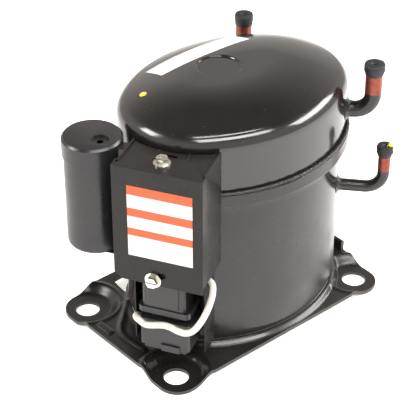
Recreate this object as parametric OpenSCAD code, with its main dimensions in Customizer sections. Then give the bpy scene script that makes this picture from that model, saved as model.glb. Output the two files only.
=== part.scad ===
/* [Base plate] */
// Distance between mounting hole centres, long way
mount_x = 187; // [180:1:194]
// Distance between mounting hole centres, short way
mount_y = 109; // [106:1:120]
// Diameter of the four mounting holes
mount_hole_d = 19; // [14:0.5:22]
// Thickness of the pressed steel plate
plate_t = 3; // [2:0.25:3.5]
// Height of the plate's web above the foot pads
foot_drop = 6; // [5:0.25:7]
// From a mounting hole's centre to the plate's short edge
foot_end = 16.5; // [14:0.5:20]
// From a mounting hole's centre to the plate's long edge
foot_side = 18.5; // [17:0.5:24]
// Radius of the flat pad round a mounting hole
pad_r = 17; // [14:0.5:18]
// Outer radius of the sloping step round a pad
joggle_r = 24; // [20:0.5:26]
// Corner radius of the plate
corner_r = 17; // [10:1:20]

/* [Shell] */
// Shift of the shell from the middle of the mounting holes
shell_x = 10; // [4:0.5:12]
// Half length of the upper shell's wall
half_l = 93.5; // [90:0.5:96]
// Half width of the upper shell's wall
half_w = 72.4; // [70:0.1:74]
// Radius of the wall at the two ends
end_r = 61.5; // [58:0.5:66]
// Thickness of both shells
shell_t = 2.8; // [2:0.1:3.5]
// Height of the lower shell's rim
seam_z = 146.5; // [143:0.5:152]
// Height of the widened belt under the rim
belt_h = 10; // [8:0.5:13]
// How far the lower wall stands inside the upper wall
lower_in = 4; // [3.2:0.1:5]
// Height of the bowl's underside
bowl_z = 3; // [2:0.25:4]
// Radius between the bowl's floor and its wall
bowl_r = 16; // [12:1:20]
// Height of the top of the dome
top_z = 205; // [200:1:210]
// Radius of the dome's shoulder
shoulder_r = 13; // [10:0.5:24]
// Radius of the dome's crown
crown_r = 110; // [95:1:150]
// Distance from the wall to the flat middle of the dome
crown_in = 56; // [52:0.5:57]
// Radius of the round recess in the dome
recess_r = 16.7; // [12:0.1:18]
// Depth of the round recess
recess_depth = 1.4; // [0.6:0.1:2]
// Place of the recess along the dome, from the middle of the base
recess_x = 3; // [0:1:20]
// Place of the recess across the dome
recess_y = 9; // [0:1:12]

/* [Tubes] */
// Outside diameter of the suction and process tubes
suction_d = 12.7; // [9.5:0.1:13]
// Outside diameter of the discharge tube
discharge_d = 9.5; // [6.35:0.05:10]
// Wall thickness of the tubes
tube_t = 1; // [0.7:0.1:1.4]
// Direction of the suction and discharge tubes on the shell
service_angle = -50; // [-52:1:-44]
// Direction of the process tube on the shell
process_angle = 57; // [54:1:60]
// Height of the suction tube where it leaves the shell
suction_z = 164; // [160:0.5:168]
// Height of the suction tube's open end
suction_top = 194.5; // [190:1:215]
// Height of the discharge tube where it leaves the shell
discharge_z = 96; // [90:0.5:100]
// Height of the discharge tube's open end
discharge_top = 125; // [120:1:140]
// Height of the process tube where it leaves the shell
process_z = 160; // [158:0.5:168]
// Height of the process tube's open end
process_top = 188.5; // [185:1:210]
// Reach of the suction and process tubes from the wall
suction_reach = 19; // [17:0.5:26]
// Reach of the discharge tube from the wall
discharge_reach = 35; // [22:0.5:40]
// Height of the rubber plugs above the tubes
plug_h = 9.5; // [6:0.5:12]
// How far a plug's stem goes into its tube
plug_stem = 14; // [8:1:16]

/* [Control box] */
// Place of the box's front face, lengthwise
box_x = -105; // [-108:0.5:-104]
// Place of the box's front face, crosswise
box_y = -50; // [-52:0.5:-48]
// Turn of the box about the vertical
box_turn = -61; // [-64:1:-58]
// Width of the cover
box_w = 67.6; // [64:0.2:72]
// Height of the top of the cover
box_top = 185; // [180:1:190]
// Height of the bottom of the cover
box_bottom = 90; // [86:0.5:95]
// Sheet thickness of the box, the cover and the brackets
sheet_t = 1.2; // [0.8:0.1:1.5]
// Gap between the cover and the box inside it
sheet_gap = 0.3; // [0.2:0.1:0.5]
// Diameter of the capacitor's can
cap_d = 42.4; // [38:0.2:43]
// Height of the capacitor's can
cap_can_h = 78; // [70:1:84]
// Height of the underside of the capacitor
cap_z = 96; // [90:1:100]
// Diameter of the jumper lead
lead_d = 5; // [4:0.5:5.5]

/* [Pump] */
// Crank throw, half of the stroke
throw = 10; // [8:0.5:11]
// Piston diameter
piston_d = 34; // [30:0.5:34.5]
// Shaft and crank pin diameter
shaft_d = 16; // [14:0.5:16.5]
// Running clearance of shafts and pistons, on the radius
run_gap = 0.04; // [0.02:0.01:0.08]
// Height of the cylinder's axis
cyl_z = 146; // [145.5:0.5:148]
// Diameter of the sliding block in the yoke
block_d = 26; // [24:0.5:26]
// Wall of the yoke tube
yoke_t = 3; // [2:0.25:3]
// Thickness of the valve plate
valve_plate_t = 3.5; // [2.5:0.25:4]
// Stator stack height
stack_h = 52; // [44:1:54]
// Half width of the stator laminations
stator_half = 55; // [52:0.5:56]
// Rotor diameter
rotor_d = 60.8; // [54:0.2:61]
// Air gap between rotor and stator
air_gap = 0.6; // [0.3:0.1:1]

/* [Hidden] */
$fn = 64;

black = [0.06, 0.06, 0.065];
steel = [0.72, 0.72, 0.74];
iron = [0.36, 0.37, 0.38];
copper = [0.78, 0.45, 0.32];
brass = [0.80, 0.66, 0.36];
plastic = [0.10, 0.10, 0.11];
rubber = [0.16, 0.16, 0.16];
cover_black = [0.12, 0.115, 0.11];
fit_gap = 0.3;

// Four arcs make the oval: two ends of end_r and two sides of side_r, tangent where they meet.
oval_c1 = half_l - end_r;
side_r = (oval_c1 * oval_c1 + half_w * half_w - end_r * end_r) / (2 * (half_w - end_r));
oval_c2 = side_r - half_w;
side_half = atan(oval_c1 / oval_c2);
end_half = 90 - side_half;

function arc(c, r, a0, a1, n) = [for (i = [0:n])
    c + r * [cos(a0 + (a1 - a0) * i / n), sin(a0 + (a1 - a0) * i / n)]];
// Corners of the shell's oval, moved outwards by off, with each arc shortened by trim at its ends
function oval_pts(off, n = 14, trim = 0) = [for (p = concat(
    arc([oval_c1, 0], end_r + off, trim - end_half, end_half - trim, n),
    arc([0, -oval_c2], side_r + off, 90 - side_half + trim, 90 + side_half - trim, n),
    arc([-oval_c1, 0], end_r + off, 180 - end_half + trim, 180 + end_half - trim, n),
    arc([0, oval_c2], side_r + off, 270 - side_half + trim, 270 + side_half - trim, n)))
    p + [shell_x, 0]];
// Distance of a point, measured from the shell's middle, inwards from the oval
function oval_depth(x, y) = let (a = atan2(abs(y), abs(abs(x) - oval_c1)))
    abs(x) > oval_c1 && a < end_half ? end_r - norm([abs(x) - oval_c1, y])
    : side_r - norm([x, abs(y) + oval_c2]);
// Height of the dome's outside at a given depth from the wall
crown_turn = asin((crown_in - shoulder_r) / (crown_r - shoulder_r));
shoulder_z = top_z - crown_r + (crown_r - shoulder_r) * cos(crown_turn);
function dome_z(depth) = let (flat = max(crown_in - depth, 0))
    top_z - crown_r + sqrt(crown_r * crown_r - flat * flat);

// Carries a profile of [offset from the oval, height] round the shell
module oval_sweep(profile) {
    translate([shell_x, 0, 0]) for (turn = [0, 180]) rotate([0, 0, turn]) {
        translate([oval_c1, 0, 0]) rotate([0, 0, -end_half])
            rotate_extrude(angle = 2 * end_half, $fn = 100) translate([end_r, 0]) polygon(profile);
        translate([0, -oval_c2, 0]) rotate([0, 0, 90 - side_half])
            rotate_extrude(angle = 2 * side_half, $fn = 140) translate([side_r, 0]) polygon(profile);
    }
}
// Flat plate that fills the oval at an offset, with no corner where two arcs meet and a hair thinner
// than the sheet round it
module oval_plate(off, z, t) {
    hair = 0.02;
    translate([0, 0, z + hair]) linear_extrude(t - 2 * hair) polygon(oval_pts(off, 14, 1.5));
}
module ring(r1, r2, h) {
    difference() {
        cylinder(r = r2, h = h);
        translate([0, 0, -1]) cylinder(r = r1, h = h + 2);
    }
}
// Rounded rectangle as a polygon, from its corner to its far corner
function round_rect(x0, y0, x1, y1, r) = concat(
    arc([x1 - r, y1 - r], r, 0, 90, 8), arc([x0 + r, y1 - r], r, 90, 180, 8),
    arc([x0 + r, y0 + r], r, 180, 270, 8), arc([x1 - r, y0 + r], r, 270, 360, 8));
module hex_head(across, h) {
    cylinder(r = across / sqrt(3), h = h, $fn = 6);
}

// Tube of flat sides along a list of points, closed at both ends
function unit(v) = v / norm(v);
function along(p, i) = unit(p[min(i + 1, len(p) - 1)] - p[max(i - 1, 0)]);
function side_of(t) = unit(cross(t, abs(t[2]) > 0.95 ? [1, 0, 0] : [0, 0, 1]));
function carried(p, i) = i == 0 ? side_of(along(p, 0))
    : let (t = along(p, i), s = carried(p, i - 1)) unit(s - (s * t) * t);
module path_tube(p, r, sides) {
    n = len(p);
    pts = [for (i = [0:n - 1]) let (t = along(p, i), s = carried(p, i), u = cross(t, s))
        for (k = [0:sides - 1]) p[i] + r * (s * cos(360 * k / sides) + u * sin(360 * k / sides))];
    walls = [for (i = [0:n - 2], k = [0:sides - 1]) let (m = (k + 1) % sides)
        [i * sides + k, (i + 1) * sides + k, (i + 1) * sides + m, i * sides + m]];
    polyhedron(pts, concat(walls, [[for (k = [0:sides - 1]) k]],
        [[for (k = [sides - 1:-1:0]) (n - 1) * sides + k]]), convexity = 6);
}

// ---- Base plate ----
plate_x = mount_x / 2 + foot_end;
plate_y = mount_y / 2 + foot_side;
web_top = foot_drop + plate_t;
collar_h = 3.2;
// Offset of the bowl's outside at a height, and of the collar that the bowl is welded into
function bowl_off(z) = -lower_in - bowl_r
    + sqrt(bowl_r * bowl_r - pow(max(bowl_z + bowl_r - z, 0), 2));
collar_in = bowl_off(web_top + collar_h) + 0.25;
module at_feet() {
    for (x = [-1, 1], y = [-1, 1]) translate([x * mount_x / 2, y * mount_y / 2]) children();
}
module plate_outline() {
    polygon(round_rect(-plate_x, -plate_y, plate_x, plate_y, corner_r));
}
module inside_collar() {
    polygon(oval_pts(-1.5));
}
module plate_window() {
    difference() {
        polygon([[-66, 26], [-61, plate_y - 10], [-56, plate_y - 8], [-36, plate_y - 8], [-30, 50]]);
        polygon(oval_pts(-1));
    }
}
module base_plate() color(black) difference() {
    union() {
        translate([0, 0, foot_drop]) linear_extrude(plate_t) difference() {
            plate_outline();
            plate_window();
            difference() {
                at_feet() circle(r = joggle_r);
                inside_collar();
            }
        }
        linear_extrude(plate_t) intersection() {
            plate_outline();
            difference() {
                at_feet() circle(r = pad_r);
                inside_collar();
            }
        }
        intersection() {
            linear_extrude(web_top) difference() {
                plate_outline();
                inside_collar();
            }
            at_feet() rotate_extrude() polygon([[pad_r - 1, 0], [pad_r + 0.6, 0],
                [joggle_r + 1, foot_drop], [joggle_r + 1, web_top], [joggle_r - 0.6, web_top],
                [pad_r - 1, plate_t]]);
        }
        linear_extrude(web_top) intersection() {
            at_feet() circle(r = joggle_r);
            difference() {
                polygon(oval_pts(0.5));
                polygon(oval_pts(-1.5));
            }
        }
        linear_extrude(web_top + collar_h) difference() {
            polygon(oval_pts(collar_in + plate_t, 28));
            polygon(oval_pts(collar_in - 1, 28));
        }
        end_flange();
        stiffener_rib();
    }
    translate([0, 0, -1]) linear_extrude(web_top + collar_h + 2) polygon(oval_pts(collar_in, 28));
    translate([0, 0, -1]) linear_extrude(foot_drop + 1) polygon(oval_pts(collar_in + plate_t + 0.1, 28));
    at_feet() translate([0, 0, -1]) cylinder(d = mount_hole_d, h = web_top + 2);
}
module end_flange() {
    translate([plate_x - plate_t, -26, foot_drop]) cube([plate_t, 52, 12]);
}
module stiffener_rib() {
    translate([-plate_x + 9, 10, web_top - 1]) linear_extrude(2.4)
        polygon(round_rect(-2.5, 0, 2.5, 18, 2.4));
}

// ---- Shells ----
ledge_z = seam_z - belt_h;
floor_z = bowl_z + shell_t;
bowl_flat = -lower_in - bowl_r;
module lower_shell() color(black) difference() {
    union() {
        oval_sweep(concat(
            [for (a = [270:10:360]) [bowl_flat + bowl_r * cos(a), bowl_z + bowl_r + bowl_r * sin(a)]],
            [[-lower_in, ledge_z - 5.5], [shell_t + 0.2, ledge_z - 1.5], [shell_t + 0.2, seam_z],
             [0.2, seam_z], [0.2, ledge_z], [-lower_in - shell_t, ledge_z - 3]],
            [for (a = [360:-10:270]) [bowl_flat + (bowl_r - shell_t) * cos(a),
                bowl_z + bowl_r + (bowl_r - shell_t) * sin(a)]],
            [[bowl_flat - 4, floor_z], [bowl_flat - 4, bowl_z]]));
        oval_plate(bowl_flat - 2, bowl_z, shell_t);
    }
    in_box() translate([0, 20, header_z]) rotate([-90, 0, 0]) cylinder(r = header_r, h = 60);
    at_wall(service_angle, 0) translate([0, 0, discharge_z]) rotate([0, 90, 0])
        translate([0, 0, -30]) cylinder(d = discharge_d + 0.1, h = 60);
}
module upper_shell() color(black) difference() {
    union() {
        oval_sweep(concat(
            [[-shell_t, ledge_z + fit_gap], [0, ledge_z + fit_gap]],
            [for (i = [0:8]) let (a = i * (90 - crown_turn) / 8)
                [-shoulder_r + shoulder_r * cos(a), shoulder_z + shoulder_r * sin(a)]],
            [for (i = [1:6]) let (a = 90 - crown_turn + crown_turn * i / 6)
                [-crown_in + crown_r * cos(a), top_z - crown_r + crown_r * sin(a)]],
            [[-crown_in - 3.5, top_z], [-crown_in - 3.5, top_z - shell_t]],
            [for (i = [6:-1:1]) let (a = 90 - crown_turn + crown_turn * i / 6)
                [-crown_in + (crown_r - shell_t) * cos(a), top_z - crown_r + (crown_r - shell_t) * sin(a)]],
            [for (i = [8:-1:0]) let (a = i * (90 - crown_turn) / 8)
                [-shoulder_r + (shoulder_r - shell_t) * cos(a),
                 shoulder_z + (shoulder_r - shell_t) * sin(a)]]));
        oval_plate(-crown_in - 1.5, top_z - shell_t, shell_t);
        translate([recess_x, recess_y, top_z - shell_t - recess_depth])
            cylinder(r = recess_r + 1.5, h = shell_t);
    }
    translate([recess_x, recess_y, top_z - recess_depth]) cylinder(r = recess_r, h = 5);
    at_wall(service_angle, 0) translate([0, 0, suction_z]) rotate([0, 90, 0])
        translate([0, 0, -30]) cylinder(d = suction_d + 0.1, h = 60);
    at_wall(process_angle, 0) translate([0, 0, process_z]) rotate([0, 90, 0])
        translate([0, 0, -30]) cylinder(d = suction_d + 0.1, h = 60);
}
module weld_bead() color(black) oval_sweep([[0.15, seam_z], [shell_t, seam_z],
    [shell_t + 0.8, seam_z + 0.9], [shell_t + 0.3, seam_z + 2.2], [1.8, seam_z + 3.2],
    [0.15, seam_z + 3.8]]);

// ---- Tubes and plugs ----
// Puts X outwards along the wall's normal, with zero at an offset from the oval
module at_wall(angle, off) {
    near_end = abs(angle) < end_half;
    centre = near_end ? [oval_c1, 0] : [0, -oval_c2 * sign(angle)];
    translate([shell_x + centre[0], centre[1], 0]) rotate([0, 0, angle])
        translate([(near_end ? end_r : side_r) + off, 0, 0]) children();
}
bend_r = 14;
module elbow_tube(d, z, top, reach, inner) difference() {
    union() {
        translate([-inner, 0, z]) rotate([0, 90, 0]) cylinder(d = d, h = inner + reach - bend_r);
        translate([reach - bend_r, 0, z + bend_r]) rotate([90, 0, 0]) rotate([0, 0, -90])
            rotate_extrude(angle = 90) translate([bend_r, 0]) circle(d = d);
        translate([reach, 0, z + bend_r]) cylinder(d = d, h = top - z - bend_r);
    }
    translate([-inner - 1, 0, z]) rotate([0, 90, 0])
        cylinder(d = d - 2 * tube_t, h = inner + 1 + reach - bend_r);
    translate([reach - bend_r, 0, z + bend_r]) rotate([90, 0, 0]) rotate([0, 0, -90])
        rotate_extrude(angle = 90) translate([bend_r, 0]) circle(d = d - 2 * tube_t);
    translate([reach, 0, z + bend_r]) cylinder(d = d - 2 * tube_t, h = top - z - bend_r + 1);
}
module tube_plug(d, z, reach, head_d) color(rubber) translate([reach, 0, z]) difference() {
    union() {
        translate([0, 0, -plug_stem]) cylinder(d = d - 2 * tube_t - 0.1, h = plug_stem + 1);
        translate([0, 0, 0.1]) cylinder(d1 = d + 0.6, d2 = head_d, h = plug_h / 3);
        translate([0, 0, plug_h / 3]) cylinder(d = head_d, h = plug_h * 2 / 3);
    }
    translate([0, 0, plug_h - 1.5]) cylinder(d1 = head_d / 4, d2 = head_d / 2.4, h = 2);
}
module suction_tube() color(copper) at_wall(service_angle, 0)
    elbow_tube(suction_d, suction_z, suction_top, suction_reach, shell_t + 3);
module discharge_tube() color(copper) at_wall(service_angle, -lower_in)
    elbow_tube(discharge_d, discharge_z, discharge_top, discharge_reach, shell_t + 4);
module process_tube() color(copper) at_wall(process_angle, 0)
    elbow_tube(suction_d, process_z, process_top, suction_reach, shell_t + 3);
module suction_plug() at_wall(service_angle, 0)
    tube_plug(suction_d, suction_top, suction_reach, suction_d + 3);
module discharge_plug() at_wall(service_angle, -lower_in)
    tube_plug(discharge_d, discharge_top, discharge_reach, discharge_d + 3.5);
module process_plug() at_wall(process_angle, 0)
    tube_plug(suction_d, process_top, suction_reach, suction_d + 1.8);

// ---- Terminals in the shell's wall ----
header_z = 72;
header_r = 15;
pin_r = 1.5;
// Puts X along the box's front, left to right, and Y inwards from the front face
module in_box() {
    translate([box_x, box_y, 0]) rotate([0, 0, box_turn]) children();
}
// Depth behind the front face at which the shell's wall, moved outwards by off, is met
function wall_y(off) = ([shell_x - oval_c1, 0] - [box_x, box_y]) * [-sin(box_turn), cos(box_turn)]
    - end_r - off;
module at_pins() {
    for (a = [90, 210, 330]) rotate([0, 0, a]) translate([6.5, 0, 0]) children();
}
module at_header(depth) {
    in_box() translate([0, depth, header_z]) rotate([-90, 0, 0]) children();
}
header_y = wall_y(-lower_in) - 1;
module terminal_header() color(steel) at_header(header_y) difference() {
    cylinder(r = header_r - 0.05, h = 5.5);
    translate([0, 0, 1.5]) cylinder(r = header_r - 2, h = 5);
    at_pins() translate([0, 0, -1]) cylinder(r = 3, h = 4);
}
module terminal_glass() color([0.25, 0.35, 0.3]) at_header(header_y - 0.4) at_pins() difference() {
    cylinder(r = 2.95, h = 2.3);
    translate([0, 0, -1]) cylinder(r = pin_r + 0.02, h = 5);
}
module terminal_pins() color(brass) at_header(header_y - 10) at_pins() cylinder(r = pin_r, h = 21);

// ---- Control box ----
bracket_y = wall_y(-lower_in) - fit_gap - sheet_t;
bracket_left = -27.5;
bracket_right = 27;
bracket_z0 = 22;
bracket_z1 = seam_z - belt_h - 8;
lead_hole = [27.6, 28.5, 82.2];
screw_top = [-0.9, 13.2];
screw_front = [-3.8, 94.6];
screw_r = 1.95;
screw_l = 7.5;
strip_half = box_w / 2 - 2 * sheet_t - sheet_gap;
module terminal_bracket() color(cover_black) in_box() difference() {
    union() {
        translate([bracket_left, bracket_y, bracket_z0])
            cube([bracket_right - bracket_left + sheet_t, sheet_t, bracket_z1 - bracket_z0]);
        for (x = [bracket_left, bracket_right]) {
            translate([x, 20, bracket_z0]) cube([sheet_t, bracket_y - 19, bracket_z1 - bracket_z0]);
            translate([x, 2, box_bottom + 1]) cube([sheet_t, bracket_y - 1, 8]);
        }
        translate([0.05 - strip_half, 2, box_bottom + 1]) cube([2 * strip_half - 0.1, sheet_t, 8]);
    }
    translate([0, bracket_y - 1, header_z]) rotate([-90, 0, 0]) cylinder(r = header_r + 2, h = 5);
    translate([screw_front[0], 0, screw_front[1]]) rotate([-90, 0, 0]) cylinder(r = screw_r + 0.05, h = 8);
    translate(lead_hole - [5, 0, 0]) rotate([0, 90, 0]) cylinder(d = lead_d + 1.5, h = 10);
}
housing_half = box_w / 2 - sheet_t - sheet_gap;
housing_top = box_top - sheet_t - sheet_gap - sheet_t;
module shell_clearance(extra) {
    translate([0, 0, box_bottom - 5]) linear_extrude(box_top - box_bottom + 20)
        polygon(oval_pts(shell_t + 1 + extra));
}
module control_box() color(cover_black) difference() {
    in_box() union() {
        for (x = [-housing_half, housing_half - sheet_t]) translate([x, sheet_t + sheet_gap, box_bottom + 1.5])
            cube([sheet_t, 50, box_top - box_bottom - 1.5]);
        translate([-housing_half, sheet_t + sheet_gap, housing_top])
            cube([2 * housing_half, 44, sheet_t]);
        difference() {
            translate([1.4, 27.2, housing_top]) cylinder(r = 12.5, h = sheet_t + 0.7);
            translate([-15, 21.3 - 20, housing_top]) cube([30, 20, 5]);
        }
    }
    shell_clearance(fit_gap);
    in_box() {
        translate([-box_w, 0, housing_top + sheet_t]) cube([2 * box_w, 8, 10]);
        translate([1.4, 27.2, housing_top + sheet_t]) cylinder(r = 11, h = 3);
        translate([0, 0, housing_top - 1]) linear_extrude(6) polygon(round_rect(-4.5, 25, 5.5, 28, 1.4));
        translate([screw_top[0], screw_top[1], housing_top - 1]) cylinder(r = screw_r + 0.05, h = 4);
        translate([-housing_half - 1, cap_ly - 4, cap_duct_z]) cube([4, 9, 8]);
    }
}
module terminal_cover() color(cover_black) in_box() difference() {
    union() {
        translate([0, sheet_t, 0]) rotate([90, 0, 0]) linear_extrude(sheet_t)
            polygon([[-box_w / 2 + 6, box_bottom], [box_w / 2, box_bottom], [box_w / 2, box_top],
                [-box_w / 2, box_top], [-box_w / 2, box_bottom + 5]]);
        for (x = [-box_w / 2, box_w / 2 - sheet_t]) translate([x, 0, box_bottom + 5])
            cube([sheet_t, 9, box_top - box_bottom - 5]);
        translate([0, 0, box_top - sheet_t]) linear_extrude(sheet_t) polygon([
            [-box_w / 2, 0], [box_w / 2, 0], [box_w / 2 - 3, 6], [20, 21], [-20, 21], [-box_w / 2 + 3, 6]]);
    }
    translate([screw_top[0], screw_top[1], box_top - 5]) cylinder(r = screw_r + 0.05, h = 8);
    translate([screw_front[0], -1, screw_front[1]]) rotate([-90, 0, 0]) cylinder(r = screw_r + 0.05, h = 4);
    translate([screw_front[0] + 6.5, -1, screw_front[1] + 5]) rotate([-90, 0, 0]) cylinder(r = 3, h = 4);
}
module cover_screw() {
    translate([0, 0, -screw_l]) cylinder(r = screw_r, h = screw_l);
    cylinder(r = 6.2, h = 1);
    difference() {
        translate([0, 0, 1]) hex_head(8, 4);
        translate([-4.6, -0.6, 4.2]) cube([9.2, 1.2, 2]);
    }
}
module cover_screws() color(steel) in_box() {
    translate([screw_top[0], screw_top[1], box_top]) cover_screw();
    translate([screw_front[0], 0, screw_front[1]]) rotate([90, 0, 0]) cover_screw();
}
module cover_label() color([0.93, 0.93, 0.9]) in_box()
    translate([-22.3, -0.25, 112.5]) cube([48.6, 0.25, 58.5]);
label_x0 = -35;
label_y0 = 29;
label_x = 86;
label_y = 19;
// Point of the dome at a share of the label's length and width, lifted by up
function on_dome(i, j, up) = let (x = label_x0 + label_x * i, y = label_y0 + label_y * j)
    [x, y, dome_z(oval_depth(x - shell_x, y)) + up];
module dome_label() color([0.93, 0.93, 0.9]) {
    nx = 20;
    ny = 6;
    top = [for (i = [0:nx], j = [0:ny]) on_dome(i / nx, j / ny, 0.3)];
    low = [for (i = [0:nx], j = [0:ny]) on_dome(i / nx, j / ny, 0.05)];
    m = ny + 1;
    n = (nx + 1) * m;
    faces = concat(
        [for (i = [0:nx - 1], j = [0:ny - 1]) [i * m + j, i * m + j + 1, (i + 1) * m + j + 1, (i + 1) * m + j]],
        [for (i = [0:nx - 1], j = [0:ny - 1])
            [n + i * m + j, n + (i + 1) * m + j, n + (i + 1) * m + j + 1, n + i * m + j + 1]],
        [for (i = [0:nx - 1]) [i * m, (i + 1) * m, n + (i + 1) * m, n + i * m]],
        [for (i = [0:nx - 1]) [i * m + ny, n + i * m + ny, n + (i + 1) * m + ny, (i + 1) * m + ny]],
        [for (j = [0:ny - 1]) [j, n + j, n + j + 1, j + 1]],
        [for (j = [0:ny - 1]) [nx * m + j, nx * m + j + 1, n + nx * m + j + 1, n + nx * m + j]]);
    polyhedron(concat(top, low), faces, convexity = 4);
}

// ---- Relay, protector and lead ----
module plan_block(x0, y0, x1, y1, r, z0, z1) {
    translate([0, 0, z0]) linear_extrude(z1 - z0) polygon(round_rect(x0, y0, x1, y1, r));
}
relay_back = header_y - 4;
module start_relay() color(plastic) in_box() difference() {
    union() {
        plan_block(-17.5, 10, 16, relay_back, 3, 57, 116);
        plan_block(-20.5, 9, 19.5, relay_back, 4, 56.5, 61.5);
        plan_block(-13, 8.8, 11.5, 12, 1.2, 64, 88);
    }
    translate([0, relay_back - 6.5, header_z]) rotate([-90, 0, 0]) at_pins() cylinder(r = pin_r + 0.05, h = 8);
}
module overload_protector() color(plastic) in_box() union() {
    plan_block(-19.5, 10, 19, 35, 2.5, 26, 50);
    plan_block(-17, 11, 16.5, 35, 2, 23, 27);
    plan_block(-3, 8.6, 12, 12, 1, 24, 29.5);
    plan_block(-12, 14, 10, 30, 2, 49, 56.45);
    plan_block(-8, 33, 8, bracket_y - 0.05, 1, 30, 46);
}
lead_path = [[-19.6, 20, 43], [-21.5, 20, 43], [-23.4, 17.4, 45], [-23.4, 12.5, 48.5],
    [-21.6, 8.3, 50.3], [-18.5, 6, 50.5],
    [-13.5, 5.4, 48], [-8.5, 5.3, 48.5], [-3, 5.3, 50], [2, 5.3, 51], [7, 5.2, 50.5], [13, 5, 48.7],
    [19, 4.6, 49], [24.7, 4.8, 52.8], [29.5, 8, 60], [32.4, 14, 68], [33.2, 20.5, 75], [31.6, 26, 80.5],
    [27.6, 28.5, 82.2], [22, 28.6, 82.4], [16.1, 28.6, 82.4]];
module jumper_lead() color([0.93, 0.91, 0.86]) in_box() path_tube(lead_path, lead_d / 2, 8);

// ---- Start capacitor ----
cap_lx = -box_w / 2 - 6 - cap_d / 2;
cap_ly = 31;
cap_top = cap_z + cap_can_h;
cap_duct_z = cap_top - 2;
cap_wall = 1.2;
module at_cap() {
    in_box() translate([cap_lx, cap_ly, 0]) children();
}
module start_capacitor() color(plastic) at_cap() difference() {
    translate([0, 0, cap_z]) cylinder(d = cap_d, h = cap_can_h);
    translate([0, 0, cap_z - 1]) cylinder(d = cap_d - 6, h = 2.5);
}
module capacitor_terminals() color(brass) at_cap() for (x = [-8, 8])
    translate([x - 3.1, -0.4, cap_top]) cube([6.2, 0.8, 6.5]);
module capacitor_cap() color(plastic) at_cap() difference() {
    union() {
        translate([0, 0, cap_top - 3]) cylinder(d = cap_d + 2, h = 13);
        translate([0, 0, cap_top + 10]) cylinder(d1 = cap_d + 2, d2 = cap_d - 1, h = 1.6);
        translate([12, -4.5, cap_duct_z]) cube([-cap_lx - housing_half - 12 - 0.2, 10, 9]);
    }
    translate([0, 0, cap_top - 4]) cylinder(d = cap_d + 0.2, h = 4.2);
    translate([0, 0, cap_top - 1]) cylinder(d = cap_d - 2 * cap_wall, h = 9.5);
    translate([15, -3, cap_duct_z + 1.5]) cube([40, 7, 6]);
    translate([7.9, -4, cap_top + 9.8]) cylinder(r = 6.5, h = 4);
    translate([7.9, -4, cap_top + 6]) cylinder(r = 2.6, h = 8);
}
module capacitor_bracket() color(cover_black) in_box() union() {
    translate([-housing_half - sheet_t, cap_ly - 12, cap_z - sheet_t]) cube([sheet_t, 18, 52]);
    translate([cap_lx - 14, cap_ly - 12, cap_z - sheet_t]) cube([-cap_lx - housing_half + 14, 24, sheet_t]);
}

// ---- Suspension ----
spring_x = 50;
spring_y = 30;
spring_r = 7;
spring_wire = 1.8;
spring_turns = 6;
// The seats stand this much above the bowl's floor, clear of its rounded edge
seat_lift = 0.1;
core_z = 40;
core_top = core_z + stack_h;
module at_springs() {
    translate([shell_x, 0, 0]) for (x = [-1, 1], y = [-1, 1])
        translate([x * spring_x, y * spring_y, 0]) children();
}
module spring_seats() color(steel) at_springs() {
    translate([0, 0, floor_z + seat_lift]) cylinder(r = 7.8, h = 1.7);
    translate([0, 0, floor_z + seat_lift]) cylinder(r = 5, h = 9);
}
module suspension_springs() color(steel) at_springs() {
    z0 = floor_z + 1.9 + spring_wire / 2;
    z1 = core_z - 0.1 - spring_wire / 2;
    per = 12;
    path_tube([for (i = [0:spring_turns * per])
        [spring_r * cos(360 * i / per), spring_r * sin(360 * i / per),
         z0 + (z1 - z0) * i / (spring_turns * per)]], spring_wire / 2, 6);
}

// ---- Motor ----
slots = 12;
slot_pitch_r = 36.5;
slot_r = 3.6;
coil_in = rotor_d / 2 + air_gap + 2;
coil_out = 46;
coil_low = 20;
coil_high = core_top + 15;
module in_pump() {
    translate([shell_x, 0, 0]) children();
}
module at_slots() {
    for (i = [0:slots - 1]) rotate([0, 0, 360 * i / slots]) translate([slot_pitch_r, 0, 0]) children();
}
module stator_core() color(iron) in_pump() translate([0, 0, core_z]) linear_extrude(stack_h) difference() {
    intersection() {
        square(2 * stator_half, center = true);
        circle(r = 68);
    }
    circle(r = rotor_d / 2 + air_gap);
    at_slots() circle(r = slot_r, $fn = 24);
    for (x = [-1, 1], y = [-1, 1]) translate([x * spring_x, y * spring_y]) circle(r = bolt_r + 0.2);
}
module stator_winding() color(copper) in_pump() union() {
    translate([0, 0, coil_low]) ring(coil_in, coil_out, core_z - coil_low);
    translate([0, 0, core_top]) ring(coil_in, coil_out, coil_high - core_top);
    at_slots() translate([0, 0, core_z - 1]) cylinder(r = slot_r - 0.2, h = stack_h + 2, $fn = 24);
}
bolt_r = 3;
plate_z = 110;
deck_z = 120;
module motor_bolts() color(steel) at_springs() {
    translate([0, 0, core_z - 4]) hex_head(10, 4);
    translate([0, 0, core_z - 0.5]) cylinder(r = bolt_r, h = deck_z + 7 - core_z);
}
module motor_nuts() color(steel) at_springs() translate([0, 0, deck_z]) difference() {
    hex_head(10, 5);
    translate([0, 0, -1]) cylinder(r = bolt_r + 0.05, h = 8);
}
module rotor() color(iron) in_pump() translate([0, 0, core_z - 2]) union() {
    ring(shaft_d / 2 + run_gap / 2, rotor_d / 2, stack_h + 2);
    ring(rotor_d / 2 - 11, rotor_d / 2 - 1, stack_h + 4);
}
module balance_weight() color(brass) in_pump() translate([0, 0, core_top + 2]) intersection() {
    ring(rotor_d / 2 - 10, rotor_d / 2 - 2, 5);
    translate([-40, -40, 0]) cube([35, 80, 6]);
}

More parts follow.
